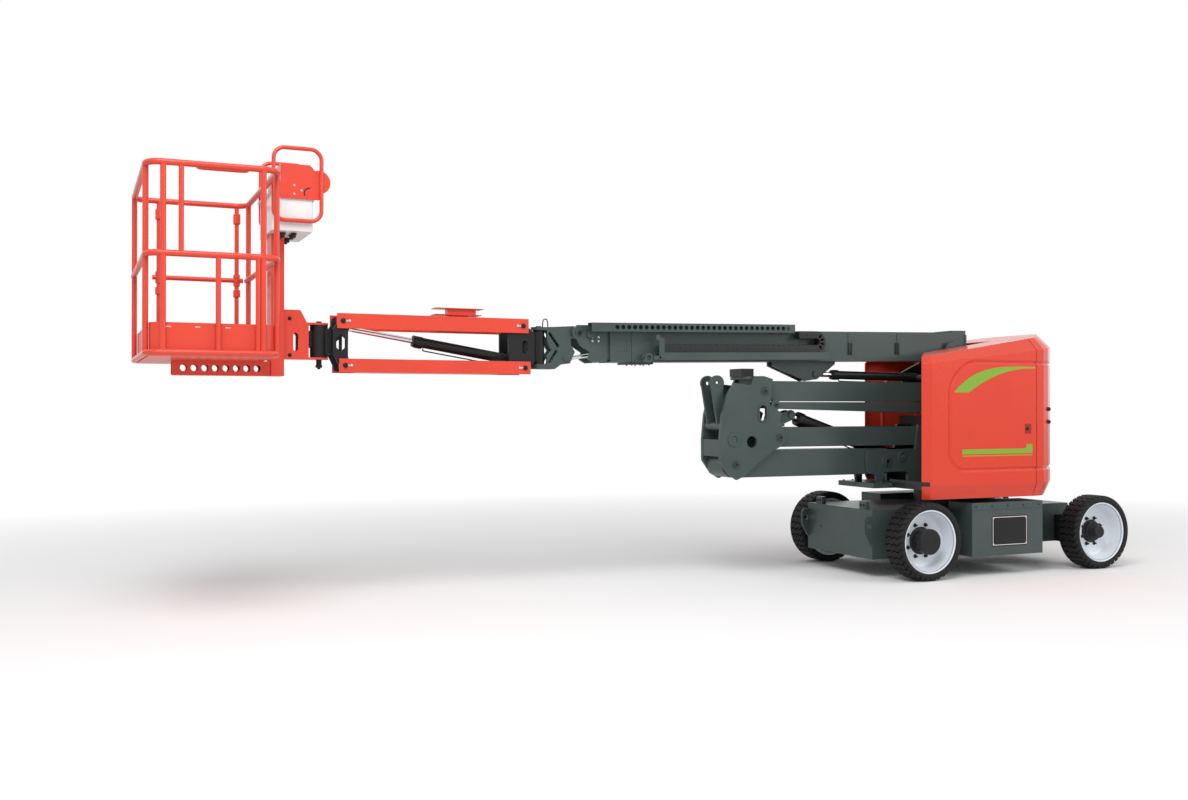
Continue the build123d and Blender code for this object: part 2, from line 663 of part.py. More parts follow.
def tail_cover():
    """Rear cover that wraps round the counterweight, open in front and below."""
    half = [(COVER_JOIN - behind, out) for behind, out in TAIL_PLAN]
    loop = half + [(x, -y) for x, y in reversed(half)]
    plan = list(zip(loop[:-1], loop[1:]))
    y = (-COVER_OUT, COVER_OUT)
    x = (TAIL_BACK, COVER_JOIN - COVER_SEAM)
    room_x = (x[0] - 20, x[1] + 20)
    outer = cover_body(x, y, plan, 0)
    room = cover_body(room_x, y, plan, COVER_T)
    for z in GROOVE_Z:
        outer -= tail_groove(room_x, y, plan, z, 0)
        room -= tail_groove(room_x, y, plan, z, COVER_T)
    stay = block((TAIL_BACK + COVER_T - 1, TAIL_BACK + WEIGHT_GAP - SEAT), (-60, 60), (1000, 1060))
    return outer - room + stay


# ---------------------------------------------------------------- riser
def hollow_arm(a, b, half_h, half_w, wall=10.0, boss=None):
    """Box arm between two pins, with a bearing sleeve across it at each end."""
    boss = boss or half_h * 0.75
    skin = plate(bar_between(a, b, half_h), (-half_w, half_w))
    core = plate(bar_between(a, b, half_h - wall), (wall - half_w, half_w - wall))
    sleeves = across(a[0], a[1], boss * 0.8, (-half_w, half_w)) + across(b[0], b[1], boss * 0.8, (-half_w, half_w))
    return skin - core + sleeves - pin_hole(a, half_w) - pin_hole(b, half_w)


def lower_arm():
    """Lower box arm, open on top where the riser ram passes over its foot."""
    arm = hollow_arm(LOWER_FOOT, LOWER_HEAD, LOWER_HALF_H, ARM_HALF_W)
    half = RAMS["riser"][2] + GAP
    return arm - place_ram(block((0, 620), (-half, half), (-half, 500)), RISER_RAM_BASE, RISER_RAM_TIP)


def twin_link(a, b, half_h, cross):
    """Two flat bars joined by round cross tubes at the fractions in cross."""
    y = (LINK_BAR_IN, ARM_HALF_W)
    bars = flanks(bar_between(a, b, half_h), y)
    for share in cross:
        x = a[0] + (b[0] - a[0]) * share
        z = a[1] + (b[1] - a[1]) * share
        bars += across(x, z, half_h * 0.6, (-y[1] + 1, y[1] - 1))
    return bars - pin_hole(a) - pin_hole(b)


def lower_link():
    return twin_link(LINK_FOOT, LINK_HEAD, LOWER_LINK_HALF_H, (0.0, 1.0))


def mid_knuckle():
    """Two plates that join the lower arms to the upper ones and stay level as the riser lifts."""
    foot, head = UPPER_FOOT, LOWER_HEAD
    side = around(head, (-329, 651), (-248, 673), (-168, 672), (-132, 603), (9, 618), (79, 526), (122, 375),
                  (140, 187), (138, 25), (62, -78), (-8, -118), (-79, -89), (-230, 30), (-329, 97), (-410, 135),
                  (-430, 250), (-393, 335), (-411, 389), (-302, 451))
    side += disc(LINK_HEAD, 62) + disc(UPPER_LINK_FOOT, 40)
    side -= disc(add(head, (-141, 169)), 45)
    side -= Pos(*add(head, (-239, 390))) * SlotOverall(120, 62, rotation=90)
    plates = flanks(side, CHEEK_Y)
    rim = disc(add(head, (18, 186)), 52) - disc(add(head, (18, 186)), 30)
    rim += Pos(*add(head, (-239, 390))) * (SlotOverall(146, 88, rotation=90) - SlotOverall(120, 62, rotation=90))
    plates += both_sides(plate(rim, (CHEEK_OUT - 1, CHEEK_OUT + 7)))
    pins = hinge_pin(LOWER_HEAD) + hinge_pin(LINK_HEAD) + hinge_pin(UPPER_FOOT) + hinge_pin(UPPER_LINK_FOOT, LINK_PIN_R)
    x, z = head
    inner = (-CHEEK_IN - 1, CHEEK_IN + 1)
    web = block((x + 106, x + 136), inner, (z + 60, z + 188)) + across(x + 92, z + 290, 32, inner)
    ear_top = add(head, (124, 618))
    arch = outline((x + 64, z + 270), (x + 72, z + 600), (x + 176, z + 600), (x + 118, z + 270)) + disc(ear_top, 58)
    arch -= disc(ear_top, 16)
    arches = flanks(arch, (62, 84))
    ears = rod_ears("riser", ((x - 455, z + 290), (x - 455, z + 360), (x - 370, z + 360), (x - 370, z + 290)))
    bridge = block((x - 450, x - 370), inner, (z + 285, z + 320))
    pad_arm = block((x - 192, x - 110), inner, (z + 646, z + 670))
    pad = block((x - 192, x - 85), (-90, 90), (z + 670, z + 730))
    bar = block((x - 192, x - 170), inner, (z + 610, z + 670))
    return plates + pins + web + arches + ears + bridge + pad_arm + pad + bar


def upper_arm():
    return hollow_arm(UPPER_FOOT, UPPER_HEAD, UPPER_HALF_H, ARM_HALF_W)


def upper_link():
    """Two bars under the upper arm that grow deeper towards the upright."""
    a, b = UPPER_LINK_FOOT, UPPER_LINK_HEAD
    rise = UPPER_LINK_RISE
    bar = outline((a[0], a[1] + rise), (b[0], b[1] + rise), (b[0], b[1] - UPPER_LINK_DEPTH[1]),
                  (a[0], a[1] - UPPER_LINK_DEPTH[0]))
    bar += disc(a, rise + 1) + disc(b, rise + 1)
    bars = flanks(bar, (LINK_BAR_IN, ARM_HALF_W))
    tube = across((a[0] + b[0]) / 2, a[1] - rise, 18, (1 - ARM_HALF_W, ARM_HALF_W - 1))
    return bars + tube - pin_hole(a, r=LINK_PIN_R) - pin_hole(b, r=LINK_PIN_R)


def upright():
    """Plates between the riser's heads and the foot of the boom."""
    side = around(UPPER_HEAD, (-180, -199), (-20, -199), (80, -49), (200, 81), (200, 171), (20, 251),
                  (-60, 411), (-200, 411), (-210, 251))
    side += disc(BOOM_FOOT, 72) + disc(UPPER_HEAD, 80) + disc(BOOM_RAM_BASE, 46)
    plates = flanks(side, CHEEK_Y)
    pins = hinge_pin(UPPER_HEAD) + hinge_pin(UPPER_LINK_HEAD, LINK_PIN_R) + hinge_pin(BOOM_FOOT)
    pins += base_pin("boom", CHEEK_OUT + 10)
    x, z = UPPER_HEAD
    back = block((x - 200, x - 180), (-CHEEK_IN - 1, CHEEK_IN + 1), (z - 49, z + 146))
    spool = across(BOOM_RAM_BASE[0], BOOM_RAM_BASE[1], 21, (RAMS["boom"][6] + SEAT, CHEEK_IN + 1))
    return plates + pins + back + both_sides(spool)


# ---------------------------------------------------------------- boom
def main_boom():
    """Outer boom: box tube with a front collar, ram ear, chain ledge and strap, made level."""
    mid, half = BOOM_RISE, BOOM_H / 2
    low, high = mid - half, mid + half
    seam = BOOM_LENGTH - BOOM_COLLAR
    tube = box_tube((BOOM_TAIL, BOOM_LENGTH), BOOM_HALF_W, (low, high), BOOM_WALL)
    tube -= box_tube((seam - 5, seam), BOOM_HALF_W + 1, (low - 1, high + 1), 5)
    step = block((BOOM_TAIL, 0), (-BOOM_HALF_W, BOOM_HALF_W), (high - 1, high + 16))
    ribs = Part()
    for x in (-140, 558, 1041):
        ribs += block((x - 10, x + 10), (BOOM_HALF_W - 1, BOOM_HALF_W + 6), (mid - 45, high - 18))
    tube += step + both_sides(ribs) + across(0, 0, 48, (-BOOM_HALF_W, BOOM_HALF_W))
    tube -= both_sides(block((seam + 32, seam + 113), (BOOM_HALF_W - 4, BOOM_HALF_W + 1), (mid - 40, mid + 46)))
    rests = block((seam - 197, seam + 30), (-70, 70), (low - 16, low + 1))
    foot, eye_w, eye_r, pin_r = BOOM_RAM_TIP, RAMS["boom"][6], RAMS["boom"][7], RAMS["boom"][8]
    steps = ((391, 94), (391, 58), (95, -56), (-20, -40), (-190, 82), (-190, 106))
    ear = outline(*[on_boom(add(foot, step)) for step in steps]) + disc(on_boom(foot), eye_r + 12)
    inner = eye_w + SEAT
    ears = flanks(ear, (inner, inner + 20))
    tip = on_boom(foot)
    heads = both_sides(across(tip[0], tip[1], pin_r + 6, (inner + 20, inner + 32)))
    ledge_out = BOOM_HALF_W + CHAIN_IN + CHAIN_W + 2
    ledge = block((1280, seam - 197), (BOOM_HALF_W - 1, ledge_out), (low + 62, low + 68))
    ledge += block((1280, seam - 197), (ledge_out - 4, ledge_out), (low + 10, low + 68))
    side_in, high_in = BOOM_HALF_W - BOOM_WALL, half - BOOM_WALL
    pad_x = (BOOM_LENGTH - 90, BOOM_LENGTH - 10)
    pads = both_sides(block(pad_x, (FLY_HALF_W + SEAT, side_in + 1), (mid - 60, mid + 60)))
    pads += block(pad_x, (-60, 60), (mid + FLY_H / 2 + SEAT, mid + high_in + 1))
    pads += block(pad_x, (-60, 60), (mid - high_in - 1, mid - FLY_H / 2 - SEAT))
    piece = tube + rests + ears + heads + ledge + pads
    piece -= across(0, 0, PIN_R + FIT, (-BOOM_HALF_W - 1, BOOM_HALF_W + 1))
    return along_boom(piece)


def cable_chain():
    """Cable carrier on the boom's side, folded back over itself at its rear end."""
    low = BOOM_RISE - BOOM_H / 2 + 68 + SEAT
    y = (BOOM_HALF_W + CHAIN_IN, BOOM_HALF_W + CHAIN_IN + CHAIN_W)
    end = BOOM_LENGTH - BOOM_COLLAR - 230
    bend_x, bend_z = 1400, low + CHAIN_BEND
    run = block((bend_x, end), y, (low, low + CHAIN_H))
    loop = across(bend_x, bend_z, CHAIN_BEND, y) - across(bend_x, bend_z, CHAIN_BEND - CHAIN_H, (y[0] - 1, y[1] + 1))
    loop = loop & block((bend_x - 100, bend_x), (y[0] - 2, y[1] + 2), (low - 5, low + 2 * CHAIN_BEND + 5))
    upper = low + 2 * CHAIN_BEND
    stub = block((bend_x, 1560), y, (upper - CHAIN_H, upper))
    return along_boom(run + loop + stub)


def fly_boom():
    """Inner boom with two plates at its tip that carry the nose."""
    mid = BOOM_RISE
    low, high = mid - FLY_H / 2, mid + FLY_H / 2
    tube = box_tube((FLY_TIP - FLY_LENGTH, FLY_TIP), FLY_HALF_W, (low, high), BOOM_WALL)
    steps = ((39, -5), (8, 53), (-62, 55), (-230, 49), (-230, -208), (-126, -216), (-78, -190), (-94, -139), (-15, -90))
    ear = outline(*[on_boom(add(NOSE_PIVOT, step)) for step in steps]) + disc(on_boom(NOSE_PIVOT), 44)
    ears = flanks(ear, (FLY_HALF_W - 16, FLY_HALF_W))
    pin = across(*NOSE_OUT, PIN_R, (-FLY_HALF_W - 10, FLY_HALF_W + 10))
    base = on_boom(LEVEL_BASE)
    level_pin = across(base[0], base[1], RAMS["level"][8], (-FLY_HALF_W + 1, FLY_HALF_W - 1))
    return along_boom(tube + ears + pin + level_pin)


def cable_tray():
    """Drilled box channel that travels with the inner boom and leads its cables."""
    mid = BOOM_RISE
    z = (mid + 100, mid + 100 + TRAY_H)
    y = (BOOM_HALF_W + TRAY_IN, BOOM_HALF_W + TRAY_IN + TRAY_W)
    x = (1600, FLY_TIP + 135)
    tray = Pos(0, (y[0] + y[1]) / 2, 0) * box_tube(x, TRAY_W / 2, z, 3)
    holes = int((x[1] - x[0] - 200) / TRAY_HOLE_PITCH)
    for number in range(holes):
        tray -= across(x[0] + 60 + number * TRAY_HOLE_PITCH, (z[0] + z[1]) / 2, TRAY_HOLE_R, (y[1] - 10, y[1] + 1))
    bracket = block((x[1] - 58, x[1]), (FLY_HALF_W + SEAT, y[0] + 3), (mid + 60, z[0] + 4))
    return along_boom(tray + bracket)


def boom_nose():
    """Windowed plates that hang from the inner boom and carry the jib's swing post."""
    side = around(NOSE_PIVOT, (227, 34), (227, -65), (189, -129), (227, -180), (227, -265), (166, -264),
                  (119, -232), (49, -223), (18, -154), (10, -140), (41, -90), (41, 18), (18, 47))
    side += disc(NOSE_PIVOT, 44) + disc(LEVEL_TIP, 34)
    for a, b in (((205, -12), (141, -100)), ((156, -139), (205, -216))):
        side -= bar_between(add(NOSE_PIVOT, a), add(NOSE_PIVOT, b), 11)
    y = (34.0, 56.0)
    plates = flanks(side, y)
    x = (NOSE_PIVOT[0] + 60, SWING_X)
    top_z = (SWING_Z[1] + SEAT, SWING_Z[1] + 22)
    low_z = (SWING_Z[0] - 36, SWING_Z[0] - SEAT)
    shelves = Part()
    for start, z in ((x[0], top_z), (NOSE_PIVOT[0] + 168, low_z)):
        shelves += block((start, SWING_X), (-y[1], y[1]), z) + upright_bar(SWING_X, 0, y[1], z)
    hub = across(NOSE_PIVOT[0], NOSE_PIVOT[1], 40, (-y[1], y[1]))
    piece = plates + shelves + hub
    piece -= across(NOSE_PIVOT[0], NOSE_PIVOT[1], PIN_R + FIT, (-60, 60))
    piece -= upright_bar(SWING_X, 0, 20 + FIT, (SWING_Z[0] - 40, SWING_Z[1] + 30))
    heads = both_sides(across(LEVEL_TIP[0], LEVEL_TIP[1], 18, (y[1], y[1] + 10)))
    bosses = both_sides(across(LEVEL_TIP[0], LEVEL_TIP[1], 24, (RAMS["level"][6] + SEAT, y[0])))
    return piece + heads + bosses


# ---------------------------------------------------------------- jib
def jib_pin(point, y=0):
    """Pin of a jib link from y = 0, or a stub on each side from y outwards."""
    return both_sides(across(point[0], point[1], JIB_PIN_R, (y - 1, JIB_HALF_W + 8)))


def jib_base():
    """Swing post and two slotted plates that carry the feet of the jib's links and ram."""
    drum = upright_bar(SWING_X, 0, SWING_R, SWING_Z)
    shaft = upright_bar(SWING_X, 0, 20, (SWING_Z[0] - 36, SWING_Z[1] + 30))
    top, low = JIB_FOOT, JIB_LOW_FOOT
    x = SWING_X
    side = outline((x + 70, low[1] + 40), (low[0] - 30, low[1]), (low[0] + 30, low[1]), (x + 264, low[1] + 40),
                   (x + 264, top[1] - 48), (top[0] + 36, top[1] - 4), (top[0] - 36, top[1] - 4), (x + 70, top[1] - 48))
    side += disc(top, JIB_BOSS_R) + disc(low, JIB_BOSS_R)
    side -= Pos(x + 142, (top[1] + low[1]) / 2) * SlotOverall(92, 38, rotation=90)
    plates = flanks(side, JIB_PLATE_Y)
    half = JIB_PLATE_Y[1]
    plan = outline((x, -36), (x + 32, -36), (x + 76, -half), (x + 98, -half), (x + 98, half), (x + 76, half),
                   (x + 32, 36), (x, 36))
    web = prism(plan, (SWING_Z[0] + 16, SWING_Z[1] - 16))
    pins = jib_pin(top) + jib_pin(low) + base_pin("jib", half)
    spool = across(JIB_RAM_BASE[0], JIB_RAM_BASE[1], 20, (RAMS["jib"][6] + SEAT, JIB_PLATE_Y[0] + 1))
    return drum + shaft + plates + web + pins + both_sides(spool)


def channel(a, b, half_h, open_low, cleared):
    """Channel between two pins whose web lies on top or below, from and to the cleared distances.

    Beyond its web only the channel's flanges go on, so that the ram can pass between them.
    """
    x = (a[0] - JIB_END, b[0] + JIB_END)
    z = (a[1] - half_h, a[1] + half_h)
    inner = JIB_HALF_W - JIB_WALL
    outer = block(x, (-JIB_HALF_W, JIB_HALF_W), z)
    rows = (z[0] - 1, z[1] - JIB_WALL) if open_low else (z[0] + JIB_WALL, z[1] + 1)
    trough = block((x[0] - 1, x[1] + 1), (-inner, inner), rows)
    for ends in ((x[0] - 1, a[0] + cleared[0]), (b[0] - JIB_BOSS_R * 2, x[1] + 1)):
        trough += block(ends, (-inner, inner), (z[0] - 1, z[1] + 1))
    trough += block((a[0] + cleared[1], x[1]), (JIB_FLANGE - inner, inner - JIB_FLANGE), (z[0] - 1, z[1] + 1))
    holes = Part()
    for point in (a, b):
        holes += across(point[0], point[1], JIB_PIN_R + FIT, (-200, 200))
    return outer - trough - holes


def jib_top_link():
    link = channel(JIB_FOOT, JIB_HEAD, JIB_TOP_HALF_H, True, (165.0, 495.0))
    x, top = JIB_FOOT[0], JIB_FOOT[1] + JIB_TOP_HALF_H
    stool = block((x + 380, x + 520), (-40, 40), (top - 1, top + 16))
    return link + stool + block((x + 290, x + 620), (-62, 62), (top + 15, top + 21))


def jib_bottom_link():
    return channel(JIB_LOW_FOOT, JIB_LOW_HEAD, JIB_LOW_HALF_H, False, (195.0, 1190.0))


def jib_front():
    """Windowed plates at the jib's head, with the post that the platform turns on."""
    drum = upright_bar(ROTATE_X, 0, ROTATE_R, ROTATE_Z)
    shaft = upright_bar(ROTATE_X, 0, 18, (ROTATE_Z[0] - 50, ROTATE_Z[1] + 26))
    top, low = JIB_HEAD, JIB_LOW_HEAD
    side = outline((top[0] - 36, top[1]), (low[0] - 20, low[1] + 60), (low[0] - 36, low[1]), (low[0] + 38, low[1]),
                   (ROTATE_X - 72, ROTATE_Z[0] + 30), (ROTATE_X - 72, ROTATE_Z[1] - 26), (top[0] + 38, top[1] - 20),
                   (top[0] + 30, top[1] + 10))
    side += disc(top, JIB_BOSS_R) + disc(low, JIB_BOSS_R)
    window = RegularPolygon(34, 6, rotation=30)
    side -= Pos((top[0] + low[0]) / 2 + 20, (top[1] + low[1]) / 2) * scale(window, by=(1, 1.7, 1))
    plates = flanks(side, JIB_PLATE_Y)
    half = JIB_PLATE_Y[1]
    z = (ROTATE_Z[0] + 24, ROTATE_Z[1] - 24)
    web = block((ROTATE_X - 92, ROTATE_X - 70), (-half, half), z) + block((ROTATE_X - 92, ROTATE_X), (-48, 48), z)
    pins = jib_pin(top, JIB_PLATE_Y[0]) + jib_pin(low)
    tip, eye_w, eye_r, pin_r = RAMS["jib"][1], RAMS["jib"][6], RAMS["jib"][7], RAMS["jib"][8]
    root = outline((ROTATE_X - 91, top[1] - 56), (ROTATE_X - 91, top[1] - 150), (ROTATE_X - 84, top[1] - 100))
    ear = make_hull((disc(tip, eye_r + 2) + root).edges())
    ears = flanks(ear, (eye_w + SEAT, eye_w + 14))
    heads = both_sides(across(tip[0], tip[1], pin_r + 5, (eye_w + 14, eye_w + 24)))
    return drum + shaft + plates + web + pins + ears + heads


# ---------------------------------------------------------------- platform
def platform_mount():
    """Fork on the platform's turning post, side plates, and the column up to the console."""
    fork = Part()
    for z in ((ROTATE_Z[0] - FORK_T, ROTATE_Z[0] - SEAT), (ROTATE_Z[1] + SEAT, ROTATE_Z[1] + FORK_T)):
        fork += upright_bar(ROTATE_X, 0, FORK_R, z) + block((ROTATE_X, COLUMN_X[0]), (-FORK_R, FORK_R), z)
    x, low = ROTATE_X, ROTATE_Z[0] - FORK_T
    side = outline((x + 77, low), (x + 257, low), (x + 257, low + 322), (x + 132, low + 322), (x + 77, low + 222))
    side -= Pos(x + 160, low + 112) * SlotOverall(120, 34, rotation=90)
    plates = flanks(side, (FORK_R - 14, FORK_R))
    post = block(COLUMN_X, (-90, 90), (BEAM_Z[0], CONSOLE_Z[0] - SEAT))
    piece = fork + plates + post
    piece -= upright_bar(ROTATE_X, 0, 18 + FIT, (ROTATE_Z[0] - 60, ROTATE_Z[1] + 60))
    return piece


def pipe(points, r=RAIL_R, bend=CORNER_R):
    """Round tube through points with bent corners."""
    path = FilletPolyline(*points, radius=bend) if len(points) > 2 else Line(*points)
    start = Plane(origin=path @ 0, z_dir=path % 0)
    return sweep(start * Circle(r), path=path)


def rail_ring(z):
    """Closed rail round the basket at height z."""
    x0, x1 = BASKET_X
    loop = Pos((x0 + x1) / 2, 0, z) * RectangleRounded(x1 - x0, 2 * BASKET_Y, CORNER_R)
    path = loop.face().outer_wire()
    start = Plane(origin=path @ 0, z_dir=path % 0)
    return sweep(start * Circle(RAIL_R), path=path)


RAIL_POSTS = [  # (x behind the front rail, side, from, to) of the posts between the corners
    (189.0, 1, BASKET_MID, BASKET_HIGH), (395.0, 1, BASKET_LOW, BASKET_MID), (621.0, 1, BASKET_LOW, BASKET_MID),
    (160.0, -1, BASKET_LOW, BASKET_HIGH), (674.0, -1, BASKET_LOW, BASKET_HIGH),
]


def platform_rails():
    """Top, middle and bottom rails of the basket with their posts."""
    x0, x1 = BASKET_X
    y = BASKET_Y
    rails = rail_ring(BASKET_HIGH) + rail_ring(BASKET_LOW)
    z = BASKET_MID
    rails += pipe([(x0, -y, z), (x0, y, z), (x1, y, z), (x1, -y, z)])
    low, high = BASKET_LOW, BASKET_HIGH
    for px in (x0 + CORNER_R, x1 - CORNER_R):
        rails += upright_bar(px, y, POST_R, (low, high))
    for back, side, start, end in RAIL_POSTS:
        rails += upright_bar(x1 - back, side * y, POST_R - 2, (start, end))
    for px in (x0, x1):
        for py in (CORNER_R - y, y - CORNER_R):
            rails += upright_bar(px, py, POST_R, (low, high))
    return rails


def platform_floor():
    """Floor and toe boards inside the rails, on the drilled beam."""
    x0, x1 = BASKET_X
    inset = RAIL_R + SEAT

    def tray(shrink, z):
        corner = CORNER_R - inset - shrink
        plan = RectangleRounded(x1 - x0 - 2 * (inset + shrink), 2 * (BASKET_Y - inset - shrink), corner)
        return prism(Pos((x0 + x1) / 2, 0) * plan, z)
    low = BEAM_Z[1]
    floor = tray(0, (low, TOE_HIGH)) - tray(TOE_T, (low + 10, TOE_HIGH + 1))
    beam_x = (COLUMN_X[1] + SEAT, x0 + BEAM_REACH)
    beam = box_tube(beam_x, BEAM_HALF_W, BEAM_Z, BEAM_WALL)
    holes = int((beam_x[1] - beam_x[0] - 120) / BEAM_HOLE_PITCH) + 1
    for number in range(holes):
        x = beam_x[0] + 82 + number * BEAM_HOLE_PITCH
        beam -= across(x, (BEAM_Z[0] + BEAM_Z[1]) / 2, BEAM_HOLE_R, (-BEAM_HALF_W - 9, BEAM_HALF_W + 9))
    return floor + beam


def entry_rail():
    """Middle rail of the right side, which slides up its two posts."""
    x0, x1 = BASKET_X[1] - ENTRY_BACK[0], BASKET_X[1] - ENTRY_BACK[1]
    y, z = -BASKET_Y, BASKET_MID
    piece = lengthwise(y, z, RAIL_R - 3, (x0 - 42, x1 + 42))
    post = POST_R - 2
    for x in (x0, x1):
        piece += upright_bar(x, y, post + 8, (z - 40, z + 40))
    for x in (x0, x1):
        piece -= upright_bar(x, y, post + SEAT, (z - 41, z + 41))
    return piece


def console():
    """Control box under a hinged hood, with a tube guard on each side."""
    z0, z1, z2 = CONSOLE_Z
    box = block(CONSOLE_X, (-CONSOLE_HALF_W, CONSOLE_HALF_W), (z0, z1))
    hood = plate(outline((HOOD_X[0], z1), (HOOD_X[1], z1), (HOOD_X[1], z2), (HOOD_X[0] + 70, z2), (HOOD_X[0], z2 - 80)),
                 (-HOOD_HALF_W, HOOD_HALF_W))
    size = (300, 460)
    middle = ((HOOD_X[0] + HOOD_X[1]) / 2 + 23, z2 + 100 - size[1] / 2)
    guards = Part()
    for side in (-1, 1):
        y = side * (HOOD_HALF_W + GUARD_R - 3)
        plane = Plane(origin=(middle[0], y, middle[1]), x_dir=(1, 0, 0), z_dir=(0, -1, 0))
        ring = plane * RectangleRounded(*size, 70)
        path = ring.face().outer_wire()
        start = Plane(origin=path @ 0, z_dir=path % 0)
        guards += sweep(start * Circle(GUARD_R), path=path)
    return box + hood + guards


PIECES = {
    "chassis_frame": chassis_frame,
    "side_boxes": side_boxes,
    "drive_axle": drive_axle,
    "steer_axle": steer_axle,
    "slew_ring": slew_ring,
    "knuckle_left": lambda: knuckle(1),
    "knuckle_right": lambda: knuckle(-1),
    "tie_rod": tie_rod,
    "turntable_frame": turntable_frame,
    "counterweight": counterweight,
    "power_packs": power_packs,
    "tail_cover": tail_cover,
    "left_cover": lambda: side_cover(LEFT_COVER_FRONT, 1),
    "right_cover": lambda: side_cover(RIGHT_COVER_FRONT, -1),
    "lower_arm": lower_arm,
    "lower_link": lower_link,
    "mid_knuckle": mid_knuckle,
    "upper_arm": upper_arm,
    "upper_link": upper_link,
    "upright": upright,
    "main_boom": main_boom,
    "cable_chain": cable_chain,
    "fly_boom": fly_boom,
    "cable_tray": cable_tray,
    "boom_nose": boom_nose,
    "jib_base": jib_base,
    "jib_top_link": jib_top_link,
    "jib_bottom_link": jib_bottom_link,
    "jib_front": jib_front,
    "platform_mount": platform_mount,
    "platform_rails": platform_rails,
    "platform_floor": platform_floor,
    "entry_rail": entry_rail,
    "console": console,
}


def wheel_pieces():
    made = {}
    tyre = tyre_shape()
    for name, (x, side, hub_r, hub_out) in WHEELS.items():
        made["tyre_" + name] = on_axle(tyre, x, side)
        made["rim_" + name] = on_axle(rim_shape(hub_r, hub_out), x, side)
    return made


def all_pieces():
    made = wheel_pieces()
    for name, make in PIECES.items():
        made[name] = make()
    for name in RAMS:
        made[name + "_barrel"] = ram_barrel(name)
        made[name + "_rod"] = ram_rod(name)
    return made


def main():
    os.makedirs("parts", exist_ok=True)
    for name, piece in all_pieces().items():
        export_step(Pos(CENTRE_X, 0, 0) * piece, "parts/" + name + ".step")
        print(name, len(piece.solids()))


if __name__ == "__main__":
    main()
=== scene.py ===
import bmesh
import bpy
import numpy as np
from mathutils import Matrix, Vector


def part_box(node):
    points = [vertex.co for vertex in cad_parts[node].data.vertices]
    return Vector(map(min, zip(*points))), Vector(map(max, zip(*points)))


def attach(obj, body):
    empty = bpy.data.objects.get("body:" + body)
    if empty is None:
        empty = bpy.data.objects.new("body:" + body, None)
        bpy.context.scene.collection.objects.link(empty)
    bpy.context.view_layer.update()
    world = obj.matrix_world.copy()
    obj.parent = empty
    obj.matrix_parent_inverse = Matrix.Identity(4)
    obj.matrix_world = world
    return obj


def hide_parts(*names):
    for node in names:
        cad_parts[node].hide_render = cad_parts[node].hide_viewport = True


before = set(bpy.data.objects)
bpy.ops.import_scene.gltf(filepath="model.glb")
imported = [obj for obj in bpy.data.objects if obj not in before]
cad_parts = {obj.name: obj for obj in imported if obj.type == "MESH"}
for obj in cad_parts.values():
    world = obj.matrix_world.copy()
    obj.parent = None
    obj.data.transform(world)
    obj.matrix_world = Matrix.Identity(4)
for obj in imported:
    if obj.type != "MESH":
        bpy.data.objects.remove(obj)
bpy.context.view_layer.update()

# ---------------------------------------------------------------- chassis
# A welded box of steel plate that carries the axles, the slewing ring and two
# lockers. It is sprayed one coat of dark slate green after welding, and its
# cut edges are rounded by the blasting that comes before the paint.


class Flow:
    """A shader socket on which plain arithmetic adds Math nodes."""

    def __init__(self, tree, socket):
        self.tree, self.socket = tree, socket

    def node(self, kind, settings=None, inputs=None, out=0):
        """Adds a node of this kind, sets it up first, then feeds its sockets, and returns one output."""
        made = self.tree.nodes.new(kind)
        for key, value in (settings or {}).items():
            setattr(made, key, value)
        for key, value in (inputs or {}).items():
            if isinstance(value, Flow):
                self.tree.links.new(value.socket, made.inputs[key])
            else:
                made.inputs[key].default_value = value
        return Flow(self.tree, made.outputs[out])

    def math(self, operation, *others):
        """This operation on the socket and the others."""
        return self.node("ShaderNodeMath", {"operation": operation}, dict(enumerate((self, *others))))

    def __add__(self, other): return self.math("ADD", other)
    def __radd__(self, other): return self.math("ADD", other)
    def __mul__(self, other): return self.math("MULTIPLY", other)
    def __sub__(self, other): return self.math("SUBTRACT", other)
    def __rsub__(self, other): return (self * -1.0) + other
    def __truediv__(self, other): return self.math("DIVIDE", other)
    def __pow__(self, other): return self.math("POWER", other)
    def __abs__(self): return self.math("ABSOLUTE")

    def step(self, low, high):
        """0 below low, 1 above high and straight between them."""
        return self.node("ShaderNodeMapRange", None, {0: self, 1: low, 2: high, 3: 0.0, 4: 1.0})

    def within(self, low, high, soft=0.0006):
        """1 between low and high, with an edge as wide as soft on each side."""
        return self.step(low - soft, low + soft) * (1 - self.step(high - soft, high + soft))

    def mix(self, first, second):
        """Colour that goes from first, where this is 0, to second, where it is 1."""
        first, second = [c if isinstance(c, Flow) else (*c, 1) for c in (first, second)]
        return self.node("ShaderNodeMix", {"data_type": "RGBA"}, {0: self, 6: first, 7: second}, out=2)


def new_material(name):
    """An empty material: its Principled shader and a Flow that starts at the place on the piece."""
    made = bpy.data.materials.new(name)
    made.use_nodes = True
    shader = made.node_tree.nodes["Principled BSDF"]
    place = Flow(made.node_tree, made.node_tree.nodes.new("ShaderNodeTexCoord").outputs["Object"])
    return made, shader, place


def link(value, shader, socket):
    """Feeds a named socket of the shader."""
    value.tree.links.new(value.socket, shader.inputs[socket])


def axes(place):
    """The three coordinates of a place, X counted from the drive axle."""
    x, y, z = [place.node("ShaderNodeSeparateXYZ", None, {0: place}, out=k) for k in range(3)]
    return x - DATUM, y, z


def noise(place, scale, detail=2.0):
    """Cloudy noise from 0 to 1, with this many patches in a metre."""
    return place.node("ShaderNodeTexNoise", None,
                      {"Vector": place, "Scale": scale, "Detail": detail, "Roughness": 0.5})


